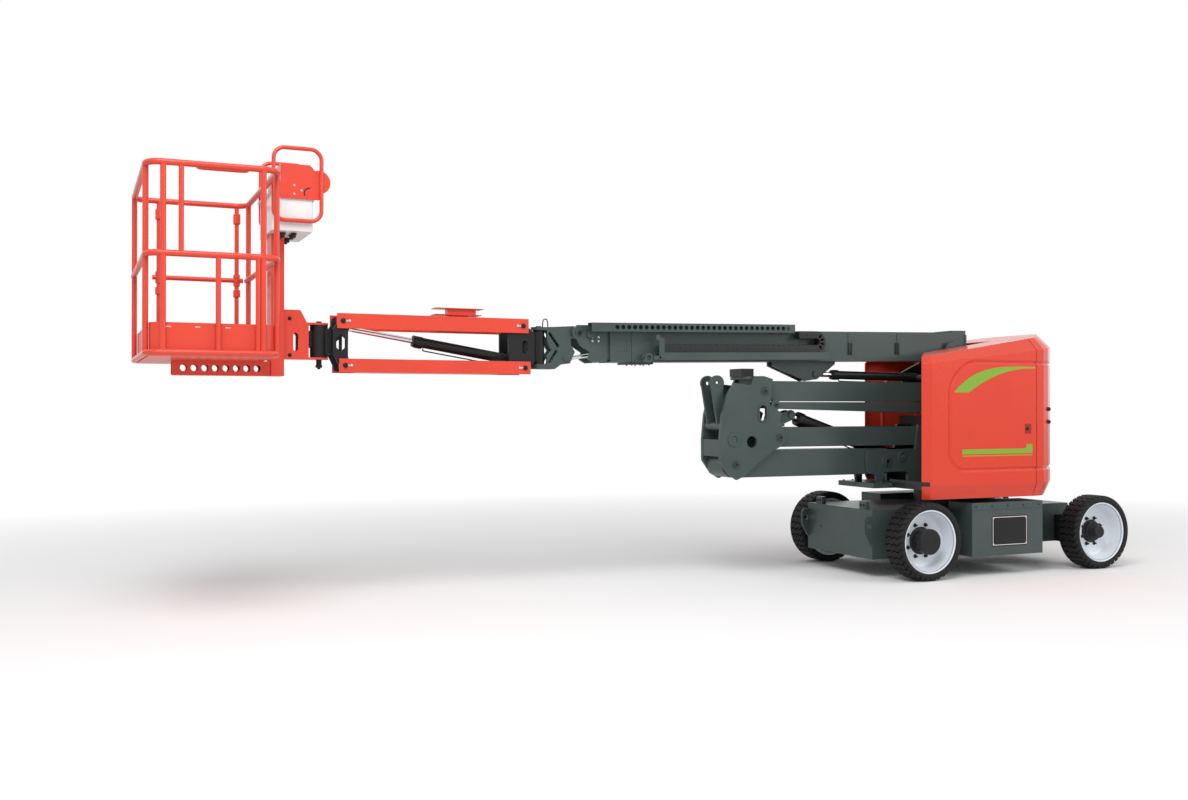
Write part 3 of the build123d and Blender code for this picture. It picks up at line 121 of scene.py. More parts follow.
def rounded(place, radius, height, strength):
    """Normal of an edge rounded by radius, with a low relief laid over it."""
    edge = place.node("ShaderNodeBevel", {"samples": 4}, {"Radius": radius})
    return place.node("ShaderNodeBump", None,
                      {"Strength": strength, "Distance": 0.001, "Height": height, "Normal": edge})


def paint(name, colour, rough=0.36, coat=0.25, drift=0.10, edge=0.004, peel=0.12, gloss=0.5, marks=()):
    """Sprayed paint: the colour drifts over patches as large as a hand, a faint peel bends the
    gloss, edges are rounded by edge metres, and marks are (mask, colour) pairs laid over it.

    A mask is a function of the three coordinates that gives 1 where its colour shows.
    """
    made, shader, place = new_material(name)
    patch = noise(place, 3.0, 4.0).step(0.3, 0.7)
    speck = noise(place, 160.0, 2.0)
    dark = [c * (1 - drift) for c in colour]
    light = [min(1.0, c * (1 + drift)) for c in colour]
    tone = patch.mix(dark, light)
    for mask, over in marks:
        tone = mask(*axes(place)).mix(tone, over)
    link(tone, shader, "Base Color")
    link(rough + (patch - 0.5) * 0.06 + (speck - 0.5) * 0.10, shader, "Roughness")
    link(rounded(place, edge, speck, peel), shader, "Normal")
    shader.inputs["Coat Weight"].default_value = coat
    shader.inputs["Specular IOR Level"].default_value = gloss
    shader.inputs["Coat Roughness"].default_value = 0.12
    return made


def dress(material, *nodes):
    """Gives CAD pieces their finish."""
    for node in nodes:
        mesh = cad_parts[node].data
        mesh.materials.clear()
        mesh.materials.append(material)


def grid(points):
    """Quads over a grid of points: each joins a point with the next of its row, the last with the
    first, and with the next of its column."""
    rows, columns = points.shape[:2]
    r = np.arange(rows - 1)[:, None]
    c = np.arange(columns)[None, :]
    c2 = (c + 1) % columns
    quads = np.broadcast_arrays(r * columns + c, r * columns + c2, (r + 1) * columns + c2, (r + 1) * columns + c)
    return points.reshape(-1, 3), np.stack(quads, axis=-1).reshape(-1, 4)


def turned(profile, centre, axis="y", way=1, sides=24):
    """(along, radius) points carried round an axis: centre + way * along * axis + radius * (cos, sin)."""
    along, radius = np.array(profile, dtype=float).T
    turn = np.linspace(0, 2 * np.pi, sides, endpoint=False)
    points = np.empty((len(along), sides, 3))
    a = "xyz".index(axis)
    points[..., a] = way * along[:, None]
    points[..., (a + 1) % 3] = radius[:, None] * np.cos(turn)
    points[..., (a + 2) % 3] = radius[:, None] * np.sin(turn)
    return grid(points + np.array(centre, dtype=float))


def slab(centre, size, axis="y", corner=0.004, edge=0.001):
    """Rounded plate: four arcs joined by straight sides, carried along the axis, drawn in by
    edge at both faces and closed at their middles."""
    a = "xyz".index(axis)
    half = [size[(a + k) % 3] / 2 for k in range(3)]
    turn = (np.arange(4)[:, None] * 90 + np.linspace(0, 90, 5)).ravel() * np.pi / 180
    lean = np.repeat(np.arange(4) * 90 + 45, 5) * np.pi / 180
    # (place along the axis, 0 at the middle of a face, 1 on its rim and 2 on the full outline)
    rows = [(-half[0], 0.0), (-half[0], 1.0), (edge - half[0], 2.0), (half[0] - edge, 2.0), (half[0], 1.0),
            (half[0], 0.0)]
    along, full = np.array(rows).T[..., None]
    drawn = edge * (2 - full)
    points = np.empty((6, 20, 3))
    points[..., a] = along
    for k, wave in ((1, np.cos), (2, np.sin)):
        reach = np.sign(wave(lean)) * (half[k] - drawn - corner) + corner * wave(turn)
        points[..., (a + k) % 3] = np.where(full > 0, reach, 0.0)
    return grid(points + np.array(centre, dtype=float))


def repeated(shape, steps):
    """The same shape moved by each of the steps."""
    points, quads = shape
    steps = np.array(steps, dtype=float)
    moved = (points[None] + steps[:, None]).reshape(-1, 3)
    return moved, (quads[None] + np.arange(len(steps))[:, None, None] * len(points)).reshape(-1, 4)


def bolts(centres, axis="y", way=1, size=0.009):
    """Washers with hexagonal heads, drawn once and repeated at the centres."""
    washer = [(0, 0), (0, 1.15 * size), (0.22 * size, 1.15 * size), (0.22 * size, 0)]
    head = [(0.2 * size, 0), (0.2 * size, 0.9 * size), (0.75 * size, 0.9 * size), (0.85 * size, 0.74 * size),
            (0.85 * size, 0)]
    centres = np.array(centres, dtype=float)
    return [repeated(turned(profile, (0, 0, 0), axis, way, sides), centres)
            for profile, sides in ((washer, 16), (head, 6))]


def make(name, body, material, *shapes, slot):
    """One piece from point-and-quad shapes: doubles merged, faces turned outwards, and edges
    sharper than 32 degrees kept sharp. It moves with the body."""
    starts = np.cumsum([0] + [len(points) for points, _ in shapes])
    points = np.concatenate([points for points, _ in shapes])
    quads = np.concatenate([quads + start for (_, quads), start in zip(shapes, starts)])
    mesh = bpy.data.meshes.new(name)
    mesh.from_pydata(points.tolist(), [], quads.tolist())
    skin = bmesh.new()
    skin.from_mesh(mesh)
    bmesh.ops.remove_doubles(skin, verts=skin.verts, dist=1e-6)
    bmesh.ops.dissolve_degenerate(skin, edges=skin.edges, dist=1e-6)
    bmesh.ops.recalc_face_normals(skin, faces=skin.faces)
    skin.to_mesh(mesh)
    skin.free()
    mesh.shade_smooth()
    mesh.set_sharp_from_angle(angle=np.radians(32))
    mesh.materials.append(material)
    made = bpy.data.objects.new(name, mesh)
    bpy.context.scene.collection.objects.link(made)
    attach(made, body)
    return made


drive_low, drive_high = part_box("tyre_drive_left")
steer_low, steer_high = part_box("tyre_steer_left")
DATUM = (drive_low.x + drive_high.x) / 2          # the drive axle, from which lengths are taken
STEER_X = (steer_low.x + steer_high.x) / 2 - DATUM
locker_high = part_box("side_boxes")[1]


def at(x, y, z):
    """A place x metres ahead of the drive axle, y to the left and z above the floor."""
    return (DATUM + x, y, z)


SLATE = (0.052, 0.074, 0.070)
slate = paint("slate_paint", SLATE, coat=0.10, gloss=0.32)
dress(slate, "chassis_frame", "side_boxes")
black = paint("black_paint", (0.010, 0.010, 0.011), rough=0.42, coat=0.0, gloss=0.28)
zinc = paint("zinc_fastener", (0.62, 0.63, 0.64), rough=0.30, coat=0.0, edge=0.0006, peel=0.02)
zinc.node_tree.nodes["Principled BSDF"].inputs["Metallic"].default_value = 0.85

PLATE_X, PLATE_Z = (-0.990, -0.627), (0.232, 0.470)         # a blank plate on the left locker
BORDER_IN, BORDER_WIDE, RIVET_IN = 0.008, 0.005, 0.018       # inwards from the plate's edge


def plate_border(x, y, z):
    """Pale line that runs round the plate inside its edge."""
    outer, inner = [x.within(PLATE_X[0] + gap, PLATE_X[1] - gap) * z.within(PLATE_Z[0] + gap, PLATE_Z[1] - gap)
                    for gap in (BORDER_IN, BORDER_IN + BORDER_WIDE)]
    return outer * (1 - inner)


blank = paint("blank_plate", (0.006, 0.006, 0.007), rough=0.35, coat=0.0, gloss=0.3,
              marks=[(plate_border, (0.72, 0.72, 0.70))])
plate_mid = at(sum(PLATE_X) / 2, locker_high.y + 0.0012, sum(PLATE_Z) / 2)
plate_size = (PLATE_X[1] - PLATE_X[0], 0.0024, PLATE_Z[1] - PLATE_Z[0])
make("blank_plate", "chassis", blank, slab(plate_mid, plate_size, corner=0.018, edge=0.0006), slot="black_paint")
rivet = turned([(0, 0), (0, 0.005), (0.0015, 0.004), (0.002, 0)], (0, 0, 0))
rivets = [at(x + s * RIVET_IN, locker_high.y + 0.0022, z + t * RIVET_IN)
          for x, s in zip(PLATE_X, (1, -1)) for z, t in zip(PLATE_Z, (1, -1))]
make("plate_rivets", "chassis", zinc, repeated(rivet, rivets), slot="chrome")

END_PLATE_X = 0.3158
hole = [(0, 0), (0, 0.0105), (0.0008, 0.0105), (0.0012, 0.0095), (0.0012, 0.0080), (0.0004, 0.0075), (0.0004, 0)]
holes = [turned(hole, at(END_PLATE_X, y, 0.345), "x") for y in (-0.247, 0.331)]
make("end_plate_holes", "chassis", black, *holes, slot="black_paint")
lid_bolts = [at(x, locker_high.y - 0.001, locker_high.z - 0.030) for x in np.linspace(-1.11, -0.47, 5)]
make("locker_bolts", "chassis", black, *bolts(lid_bolts, size=0.006), slot="black_paint")
lids = [slab(at(-0.79, way * locker_high.y, locker_high.z - 0.056), (0.712, 0.005, 0.004),
             corner=0.0015, edge=0.0005) for way in (1, -1)]
make("locker_lids", "chassis", slate, *lids, slot="slate_paint")

# ---------------------------------------------------------------- axles, steering knuckles and tie rod
# Cast axle ends and forged knuckles turn on kingpins and are joined by a bent
# round bar. They get a black machine enamel over a coarse cast skin, and a cap
# with four small bolts closes each kingpin.
cast = paint("cast_enamel", (0.011, 0.011, 0.012), rough=0.48, coat=0.0, edge=0.006, peel=0.45, gloss=0.28)
dress(cast, "drive_axle", "steer_axle", "knuckle_left", "knuckle_right", "tie_rod")
KINGPIN_Y, CAP_HIGH, CAP_CIRCLE = 0.490, 0.010, 0.020
cap = [(0, 0), (0, 0.034), (0.006, 0.034), (CAP_HIGH, 0.028), (CAP_HIGH, 0)]
pin_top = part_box("steer_axle")[1].z
for side, way in (("left", 1), ("right", -1)):
    cap_bolts = [at(STEER_X + CAP_CIRCLE * np.cos(t), way * KINGPIN_Y + CAP_CIRCLE * np.sin(t), pin_top + CAP_HIGH)
                 for t in np.radians([45, 135, 225, 315])]
    make("kingpin_cap_" + side, "chassis", cast, turned(cap, at(STEER_X, way * KINGPIN_Y, pin_top), "z"),
         *bolts(cap_bolts, "z", size=0.005), slot="black_paint")

# ---------------------------------------------------------------- tyres
# Solid press-on rubber tyres, moulded with 36 wavy bars across a nearly flat
# tread. The grooves between the bars run out over rounded shoulders.
TREAD_BARS = 36
GROOVE_DEEP = 0.014
TYRE_RADIUS, TYRE_HALF = 0.300, 0.095              # the size at which the side below is drawn
TYRE_SIDE = [  # (distance out from the tyre's middle, radius) from the bead to the shoulder
    (-0.080, 0.2268), (-0.080, 0.2445), (-0.0905, 0.2460), (-0.0950, 0.2560), (-0.0950, 0.2700), (-0.0920, 0.2850),
    (-0.0870, 0.2930), (-0.0800, 0.2980),
]
GROOVE = [  # (share of the pitch of the bars, share of the groove's depth) along the turn, for one bar
    (0.0, 0.0), (0.37, 0.0), (0.385, 0.0), (0.40, 1.0), (0.60, 1.0), (0.615, 0.0), (0.63, 0.0),
]
rubber = paint("tyre_rubber", (0.010, 0.010, 0.011), rough=0.66, coat=0.0, drift=0.2, edge=0.001, peel=0.35,
               gloss=0.25)


def tyre_surface(centre, radius, half):
    """Radius over turn and breadth: the tread crowns by 2 mm, and each groove is a trench 14 mm
    deep whose middle is shifted along the turn by a wave of the breadth, so its bars are wavy."""
    side = np.array(TYRE_SIDE) * (half / TYRE_HALF, radius / TYRE_RADIUS)
    y = np.linspace(-0.84, 0.84, 27) * half
    tread = np.stack([y, radius * (1 - 0.007 * (y / half) ** 2)], axis=1)
    breadth, ring = np.concatenate([side, tread[1:-1], side[::-1] * (-1, 1), side[:1]]).T
    pitch = 2 * np.pi / TREAD_BARS
    within, depth = np.array(GROOVE).T
    turn = (np.arange(TREAD_BARS)[:, None] * pitch + within * pitch).ravel()
    cut = np.tile(depth, TREAD_BARS)
    share = np.abs(breadth / half)
    wave = pitch * (0.55 * share + 0.22 * np.sin(2.2 * np.pi * share)) * (ring > 0.26 * radius / TYRE_RADIUS)
    fade = np.clip((ring / radius - 0.90) / 0.07, 0, 1) * (share > 0.045)
    angle = turn[None, :] + wave[:, None]
    reach = ring[:, None] - GROOVE_DEEP * radius / TYRE_RADIUS * cut[None, :] * fade[:, None]
    across = np.broadcast_to(breadth[:, None], reach.shape)
    return grid(np.stack([reach * np.cos(angle), across, reach * np.sin(angle)], axis=-1) + np.array(centre))


# ---------------------------------------------------------------- rims and hubs
# Pressed deep-dish steel wheels in pale blue-grey enamel, welded from a barrel and
# a disc. Eight studs with black nuts hold each one to its cast hub, which ends in
# a smooth black gear housing on the drive wheels and a stepped cap on the others.
rim_paint = paint("rim_paint", (0.74, 0.79, 0.85), rough=0.34, coat=0.30, drift=0.05, edge=0.002, peel=0.25)
DISC = -0.0350                                     # outer face of the disc, out from the wheel's middle
STUDS = 8
STUD = [(0.008, 0), (0.008, 0.006), (0.026, 0.006), (0.028, 0.004), (0.028, 0)]
RIM = [  # (distance out from the wheel's middle, radius) round the wall of the rim
    (0.0870, 0.2420), (0.0890, 0.2385), (0.0870, 0.2330), (0.0780, 0.2270), (0.0600, 0.2235), (0.0200, 0.2190),
    (0.0100, 0.2140), (-0.0100, 0.2090), (-0.0230, 0.2000), (-0.0310, 0.1860), (DISC, 0.1650), (DISC, 0.0860),
    (-0.0470, 0.0860), (-0.0470, 0.1700), (-0.0520, 0.2080), (-0.0700, 0.2180), (-0.0840, 0.2240), (-0.0880, 0.2330),
    (-0.0880, 0.2440), (-0.0800, 0.2440), (-0.0800, 0.2265), (0.0800, 0.2265), (0.0800, 0.2440), (0.0850, 0.2440),
    (0.0870, 0.2420),
]
HUBS = {  # kind of wheel: (distance out, radius) along its hub, radius of the stud circle
    "drive": ([(DISC, 0), (DISC, 0.104), (-0.0290, 0.106), (-0.0230, 0.100), (-0.0200, 0.090), (0.0450, 0.088),
               (0.0460, 0.098), (0.0840, 0.098), (0.0880, 0.094), (0.0880, 0.040), (0.0868, 0.039), (0.0868, 0.034),
               (0.0880, 0.033), (0.0880, 0)], 0.128),
    "steer": ([(DISC, 0), (DISC, 0.092), (-0.0270, 0.094), (-0.0200, 0.084), (-0.0100, 0.080), (0.0020, 0.080),
               (0.0050, 0.066), (0.0300, 0.062), (0.0320, 0.052), (0.0620, 0.050), (0.0700, 0.044),
               (0.0700, 0)], 0.112),
}


def spun(shape, count, middle):
    """A shape repeated count times at even turns about the Y axis through the middle."""
    points, quads = shape
    turn = 2 * np.pi / count * np.arange(count)[:, None]
    x, y, z = points.T
    moved = np.stack([x * np.cos(turn) + z * np.sin(turn), np.broadcast_to(y, (count, len(y))),
                      z * np.cos(turn) - x * np.sin(turn)], axis=-1)
    quads = quads[None] + np.arange(count)[:, None, None] * len(points)
    return moved.reshape(-1, 3) + middle, quads.reshape(-1, 4)


for kind, (hub, circle) in HUBS.items():
    for side, way in (("left", 1), ("right", -1)):
        name = kind + "_" + side
        body = "wheel_" + name
        low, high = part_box("tyre_" + name)
        middle = np.array((low + high) / 2)
        tyre = make("tyre_" + name + "_tread", body, rubber,
                    tyre_surface(middle, (high.z - low.z) / 2, (high.y - low.y) / 2), slot="tyre")
        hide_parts("tyre_" + name)
        rim = make("rim_" + name + "_dish", body, rim_paint, turned(RIM, middle, way=way, sides=96),
                   slot="rim_paint")
        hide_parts("rim_" + name)
        make("hub_" + name, body, black, turned(hub, middle, way=way, sides=64), slot="black_paint")
        turns = np.radians(22.5 + 360 / STUDS * np.arange(STUDS))
        studs = middle + np.stack([circle * np.cos(turns), np.full(STUDS, DISC * way), circle * np.sin(turns)],
                                  axis=1)
        stud = turned(STUD, (0, 0, 0), way=way, sides=12)
        make("wheel_nuts_" + name, body, black, *bolts(studs, way=way, size=0.0135), repeated(stud, studs),
             slot="black_paint")
        if kind == "drive":
            rib = slab((0, way * 0.012, 0.0895), (0.012, 0.050, 0.010), corner=0.003)
            make("hub_ribs_" + name, body, black, spun(rib, STUDS, middle), slot="black_paint")

# ---------------------------------------------------------------- turntable
# Thick flame-cut cheeks and a deck plate on the slewing ring, with one cast block
# of ballast and two drawers of batteries behind the covers. All of it is slate,
# except the ring and the drawers' cases, which stay black and dull.
case = paint("pack_case", (0.030, 0.031, 0.033), rough=0.55, coat=0.0, edge=0.003, gloss=0.3)
dress(slate, "turntable_frame", "counterweight")
dress(case, "power_packs")
dress(cast, "slew_ring")
LOWER_ARM_FOOT = (-0.045, 0.890)                   # pins: ahead of the axle, above the floor
LOWER_LINK_FOOT = (LOWER_ARM_FOOT[0] - 0.392, LOWER_ARM_FOOT[1] + 0.202)
CHEEK_OUT = 0.148                                  # outer face of the cheeks from the middle line
PIN_OUT = CHEEK_OUT + 0.0139
KEEPER_CIRCLE = 0.033


def pin_ends(name, body, pins, out, radius=0.015, proud=0.003):
    """Black end faces of the pins, chamfered, on both sides of the machine."""
    face = [(0, 0), (0, radius), (proud * 0.6, radius), (proud, radius - 0.002), (proud, 0.005),
            (proud - 0.001, 0.004), (proud - 0.001, 0)]
    shapes = [turned(face, at(x, way * out, z), way=way, sides=32) for x, z in pins for way in (1, -1)]
    make(name, body, black, *shapes, slot="black_paint")


pin_ends("foot_pin_ends", "turntable", [LOWER_ARM_FOOT, LOWER_LINK_FOOT], PIN_OUT, 0.017)
foot_x, foot_z = LOWER_ARM_FOOT
keepers = [at(foot_x + KEEPER_CIRCLE * np.cos(t), CHEEK_OUT + 0.0075, foot_z + KEEPER_CIRCLE * np.sin(t))
           for t in np.radians([30, 150, 270])]
make("foot_keepers", "turntable", black, *bolts(keepers, size=0.0055), slot="black_paint")
deck_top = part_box("turntable_frame")[0].z + 0.0398
deck_bolts = [at(x, y, deck_top) for x in (0.118, 0.03) for y in (-0.205, 0.205)]
make("deck_bolts", "turntable", black, *bolts(deck_bolts, "z", size=0.009), slot="black_paint")

# ---------------------------------------------------------------- covers
# Three moulded hoods of glass-fibre, laid up in tomato red gelcoat, waxed and
# polished. A pressed groove frames each side, and the left one carries two
# green bands of film, a lock in a square recess, and a bare field.
RED = (0.710, 0.055, 0.026)
GREEN = (0.215, 0.420, 0.036)
DULL_BLACK = (0.02, 0.02, 0.02)
BAND_REAR, BAND_FRONT = -1.007, -0.300             # ends of the bands, ahead of the drive axle


def on_left_side(y):
    """1 on the outer wall of the left cover, 0 on the rest of the machine."""
    return y.step(0.60, 0.61)


def sweep_band(x, y, z):
    """Green band that grows from a thin end at the seam to a broad one at the front corner.
    Both edges fall below their height at the seam by a power of the distance from it."""
    top = ((x - BAND_REAR) / 0.787).math("MAXIMUM", 0.0)
    low = ((x - BAND_REAR) / 0.640).math("MAXIMUM", 0.0)
    upper = 1.645 - (top ** 3.7) * 0.206
    lower = 1.630 - (low ** 2.1) * 0.191
    inside = (upper - z).step(0.0, 0.0015) * (z - lower).step(0.0, 0.0015)
    return inside * z.step(1.437, 1.439) * x.within(-1.035, -0.200) * on_left_side(y)


def flat_band(x, y, z):
    """Level green bar with a taller block at its rear end and a thin line under it."""
    rear = BAND_REAR + 0.001
    bar = x.within(rear, BAND_FRONT) * z.within(0.962, 0.998)
    block = x.within(rear, -0.944) * z.within(0.972, 1.032)
    thin = x.within(rear, BAND_FRONT) * z.within(0.944, 0.951)
    return (bar + block + thin).step(0.4, 0.6) * on_left_side(y)


def hinge_bar(x, y, z):
    """The hinge arm inside the cover, below the level of its lower groove."""
    low_down = (1 - z.step(0.753, 0.754)) * z.step(0.7199, 0.7201)
    return low_down * (1 - abs(y).step(0.7300, 0.7305)) * x.step(-0.55, -0.549)


shell = paint("red_gelcoat", RED, rough=0.24, coat=0.22, drift=0.02, edge=0.006, peel=0.04, gloss=0.25,
              marks=[(sweep_band, GREEN), (flat_band, GREEN), (hinge_bar, DULL_BLACK)])
dress(shell, "left_cover", "right_cover", "tail_cover")
red_plain = paint("red_paint", RED, rough=0.34, coat=0.2, drift=0.04, edge=0.003, gloss=0.4)
# The lock's well is painted a darker red: painted shade for the inside of the recess, not a paint of its own.
shade = paint("lock_well_painted_shade", (0.30, 0.022, 0.012), rough=0.5, coat=0.0, gloss=0.3)
LOCK = at(-0.960, 0.7402, 1.155)
KEY = at(-0.952, LOCK[1], LOCK[2])
well_mid = (LOCK[0], LOCK[1] + 0.0012, LOCK[2])
lock_frame = slab(LOCK, (0.080, 0.003, 0.092), corner=0.010, edge=0.001)
make("lock_frame", "left_cover", red_plain, lock_frame, slot="red_cover")
well = slab(well_mid, (0.066, 0.0022, 0.078), corner=0.006, edge=0.0004)
make("lock_well", "left_cover", shade, well, slot="red_cover")
barrel = [(0.0022, 0), (0.0022, 0.013), (0.006, 0.013), (0.007, 0.011), (0.007, 0.004), (0.0055, 0.0035),
          (0.0055, 0)]
make("lock_barrel", "left_cover", black, turned(barrel, KEY, sides=32), slot="chrome")
key_bar = slab((KEY[0], KEY[1] + 0.0072, KEY[2]), (0.0035, 0.0012, 0.012), corner=0.0008, edge=0.0003)
make("lock_key_bar", "left_cover", black, key_bar, slot="black_paint")
knob = [(0, 0), (0, 0.016), (0.016, 0.016), (0.021, 0.012), (0.021, 0)]
knobs = [turned(knob, at(-1.2205, 0.6870, z), sides=24) for z in (1.309, 1.207)]
make("tail_catches", "turntable", black, *knobs, slot="black_paint")

# ---------------------------------------------------------------- riser
# Two box arms and two pairs of bars on a pair of thick knuckle plates: all slate,
# with turned pins that end in black faces inside raised rings, and a black rubber
# pad on which the boom rests.
LOWER_ARM_HEAD, LOWER_LINK_HEAD = (1.360, 0.890), (0.968, 1.092)
UPPER_ARM_FOOT, UPPER_LINK_FOOT = (1.103, 1.449), (1.003, 1.341)
UPPER_ARM_HEAD, UPPER_LINK_HEAD = (-0.620, 1.449), (-0.720, 1.341)
BOOM_FOOT = (-0.750, 1.800)


def rest_pad(x, y, z):
    """The rubber pad on top of the knuckle."""
    return z.step(1.5595, 1.5605) * x.within(1.166, 1.280) * (1 - abs(y).step(0.0915, 0.0925))


knuckle_finish = paint("knuckle_slate", SLATE, coat=0.10, gloss=0.32, marks=[(rest_pad, (0.004, 0.004, 0.004))])
dress(slate, "lower_arm", "upper_arm", "lower_link", "upper_link", "upright")
dress(knuckle_finish, "mid_knuckle")
pin_ends("knuckle_pin_ends", "mid_knuckle", [LOWER_ARM_HEAD, LOWER_LINK_HEAD, UPPER_ARM_FOOT, UPPER_LINK_FOOT],
         PIN_OUT, 0.014)
pin_ends("upright_pin_ends", "upright", [UPPER_ARM_HEAD, UPPER_LINK_HEAD, BOOM_FOOT], PIN_OUT, 0.014)
plate_rims = []
for (x, z), r in ((LOWER_ARM_HEAD, 0.036), (LOWER_LINK_HEAD, 0.036), (UPPER_ARM_FOOT, 0.040)):
    ring = [(0, r - 0.012), (0, r), (0.003, r), (0.004, r - 0.001), (0.004, r - 0.011), (0.003, r - 0.012),
            (0, r - 0.012)]
    plate_rims += [turned(ring, at(x, way * CHEEK_OUT, z), way=way, sides=48) for way in (1, -1)]
make("knuckle_rims", "mid_knuckle", slate, *plate_rims, slot="slate_paint")
EAR = (LOWER_ARM_HEAD[0] + 0.124, LOWER_ARM_HEAD[1] + 0.618)
EAR_OUT = 0.084
ear_rim = [(0, 0.016), (0, 0.026), (0.002, 0.026), (0.003, 0.025), (0.003, 0.016), (0, 0.016)]
ear_rims = [turned(ear_rim, at(EAR[0], way * EAR_OUT, EAR[1]), way=way, sides=32) for way in (1, -1)]
make("knuckle_ear_rims", "mid_knuckle", slate, *ear_rims, slot="slate_paint")

# ---------------------------------------------------------------- boom
# An outer box boom with a welded collar, a hooked strap and a ledge for its cable
# chain, an inner boom that slides on plastic pads, and a drilled tray beside it.
# The steel is slate and the chain links are black moulded plastic.
dress(slate, "main_boom", "fly_boom", "cable_tray", "boom_nose")
plastic = paint("chain_plastic", (0.014, 0.015, 0.015), rough=0.45, coat=0.0, edge=0.001, peel=0.3, gloss=0.35)
dress(plastic, "cable_chain")
TILT = np.radians(1.1)                             # the boom slopes down from its foot


def tilted(shape):
    """A shape drawn level from the boom's foot, turned down by TILT and set there."""
    x, y, z = shape[0].T
    turned_points = np.stack([x * np.cos(TILT) + z * np.sin(TILT), y, z * np.cos(TILT) - x * np.sin(TILT)], axis=1)
    return turned_points + np.array(at(BOOM_FOOT[0], 0, BOOM_FOOT[1])), shape[1]


def on_boom(along, y, above):
    """A place on the boom, along it from its foot and above its middle line."""
    return at(BOOM_FOOT[0] + along * np.cos(TILT) + above * np.sin(TILT), y,
              BOOM_FOOT[1] - along * np.sin(TILT) + above * np.cos(TILT))


LEDGE = 0.029 - 0.118 + 0.0683                      # underside of the chain above the boom's middle line
LINK_PITCH = 0.0455
CHAIN_OUT = 0.184                                   # outer face of the chain from the middle line
LOOP_X, LOOP_Z, LOOP_R = 1.400, LEDGE + 0.082, 0.054
link_plate = slab((0, 0, 0), (LINK_PITCH * 1.12, 0.0030, 0.050), corner=0.020, edge=0.001)
link_pin = turned([(0, 0), (0, 0.008), (0.0012, 0.008), (0.002, 0.007), (0.002, 0)], (0, 0.0014, 0), sides=12)
run_x = np.arange(1.420, 2.735, LINK_PITCH)
every_other = 0.0012 * (np.arange(len(run_x)) % 2)  # each second plate stands out over its neighbours
run = np.stack([run_x, np.full(len(run_x), CHAIN_OUT) + every_other, np.full(len(run_x), LEDGE + 0.028)], axis=1)
t = np.radians(np.linspace(108, 252, 5))
loop = np.stack([LOOP_X + LOOP_R * np.cos(t), np.full(len(t), CHAIN_OUT + 0.0006), LOOP_Z + LOOP_R * np.sin(t)],
                axis=1)
top_run = np.array([(x, CHAIN_OUT, LEDGE + 0.136) for x in (1.420, 1.4655, 1.511)])
links = np.concatenate([run, loop, top_run])
cross_bar = slab((0, 0, 0), (0.012, 0.058, 0.004), axis="z", corner=0.003, edge=0.0008)
cross_bars = run * (1, 0, 1) + (0, CHAIN_OUT - 0.031, 0.0295)
make("chain_links", "main_boom", plastic, tilted(repeated(link_plate, links)), tilted(repeated(link_pin, links)),
     tilted(repeated(cross_bar, cross_bars)), slot="chain_plastic")
STRAP_Y = 0.1885
strap = slab((2.762, STRAP_Y, 0.008), (0.044, 0.006, 0.150), corner=0.004, edge=0.001)
boss = [(0, 0), (0, 0.022), (0.006, 0.022), (0.007, 0.021), (0.007, 0)]
hook_top = turned(boss, (2.790, STRAP_Y - 0.003, 0.088), sides=32)
foot_lug = slab((2.800, STRAP_Y, -0.060), (0.060, 0.006, 0.030), corner=0.010, edge=0.001)
make("chain_strap", "main_boom", slate, tilted(strap), tilted(hook_top), tilted(foot_lug), slot="slate_paint")
spool = [(0, 0), (0, 0.032), (0.008, 0.032), (0.009, 0.028), (0.052, 0.028), (0.053, 0.034), (0.060, 0.034),
         (0.060, 0.020), (0.045, 0.018), (0.045, 0)]
make("hose_spool", "main_boom", slate, tilted(turned(spool, (2.865, 0.122, -0.060), sides=40)), slot="slate_paint")
BOOM_SIDE, COLLAR_UNDER, TRAY_SIDE = 0.1105, -0.106, 0.0885    # faces that carry clips and bolts
tray_bolts = [at(x, TRAY_SIDE, z) for x in (2.475, 2.524) for z in (1.803, 1.831)]
make("tray_bolts", "fly_boom", zinc, *bolts(tray_bolts, size=0.0068), slot="chrome")
clips = [slab(at(x + step, BOOM_SIDE + 0.0035, z), (0.010, 0.007, 0.096), corner=0.004, edge=0.001)
         for x, z in ((0.286, 1.790), (-0.178, 1.800)) for step in (-0.012, 0.012)]
make("hose_clips", "main_boom", black, *clips, slot="black_paint")
pad_bolts = [on_boom(x, y, COLLAR_UNDER) for x in (2.80, 2.87, 2.94) for y in (-0.045, 0.045)]
make("pad_bolts", "main_boom", black, *bolts(pad_bolts, "z", -1, size=0.007), slot="black_paint")

# ---------------------------------------------------------------- nose and jib
# Thick plates hang from the inner boom and carry a standing post. Two red channel
# bars and a ram join it to a black forged head, on pins that each have a keeper:
# a bare strip screwed down beside the pin's dark end.


def tube(path, radius, sides=12):
    """Round tube: each path point is the middle of a circle square to the path, with both ends
    closed. The circles start from a direction that no part of the path follows."""
    path = np.array(path, dtype=float)
    along = np.gradient(path, axis=0)
    along /= np.linalg.norm(along, axis=1)[:, None]
    spare = np.linalg.svd(along - along.mean(axis=0))[2][-1] + np.array([0.003, 0.007, 0.002])
    u = np.cross(along, spare)
    u /= np.linalg.norm(u, axis=1)[:, None]
    v = np.cross(along, u)
    turn = np.linspace(0, 2 * np.pi, sides, endpoint=False)[None, :, None]
    rings = path[:, None] + radius * (np.cos(turn) * u[:, None] + np.sin(turn) * v[:, None])
    ends = [np.repeat(path[k][None, None], sides, axis=1) for k in (0, -1)]
    return grid(np.concatenate([ends[0], rings, ends[1]]))


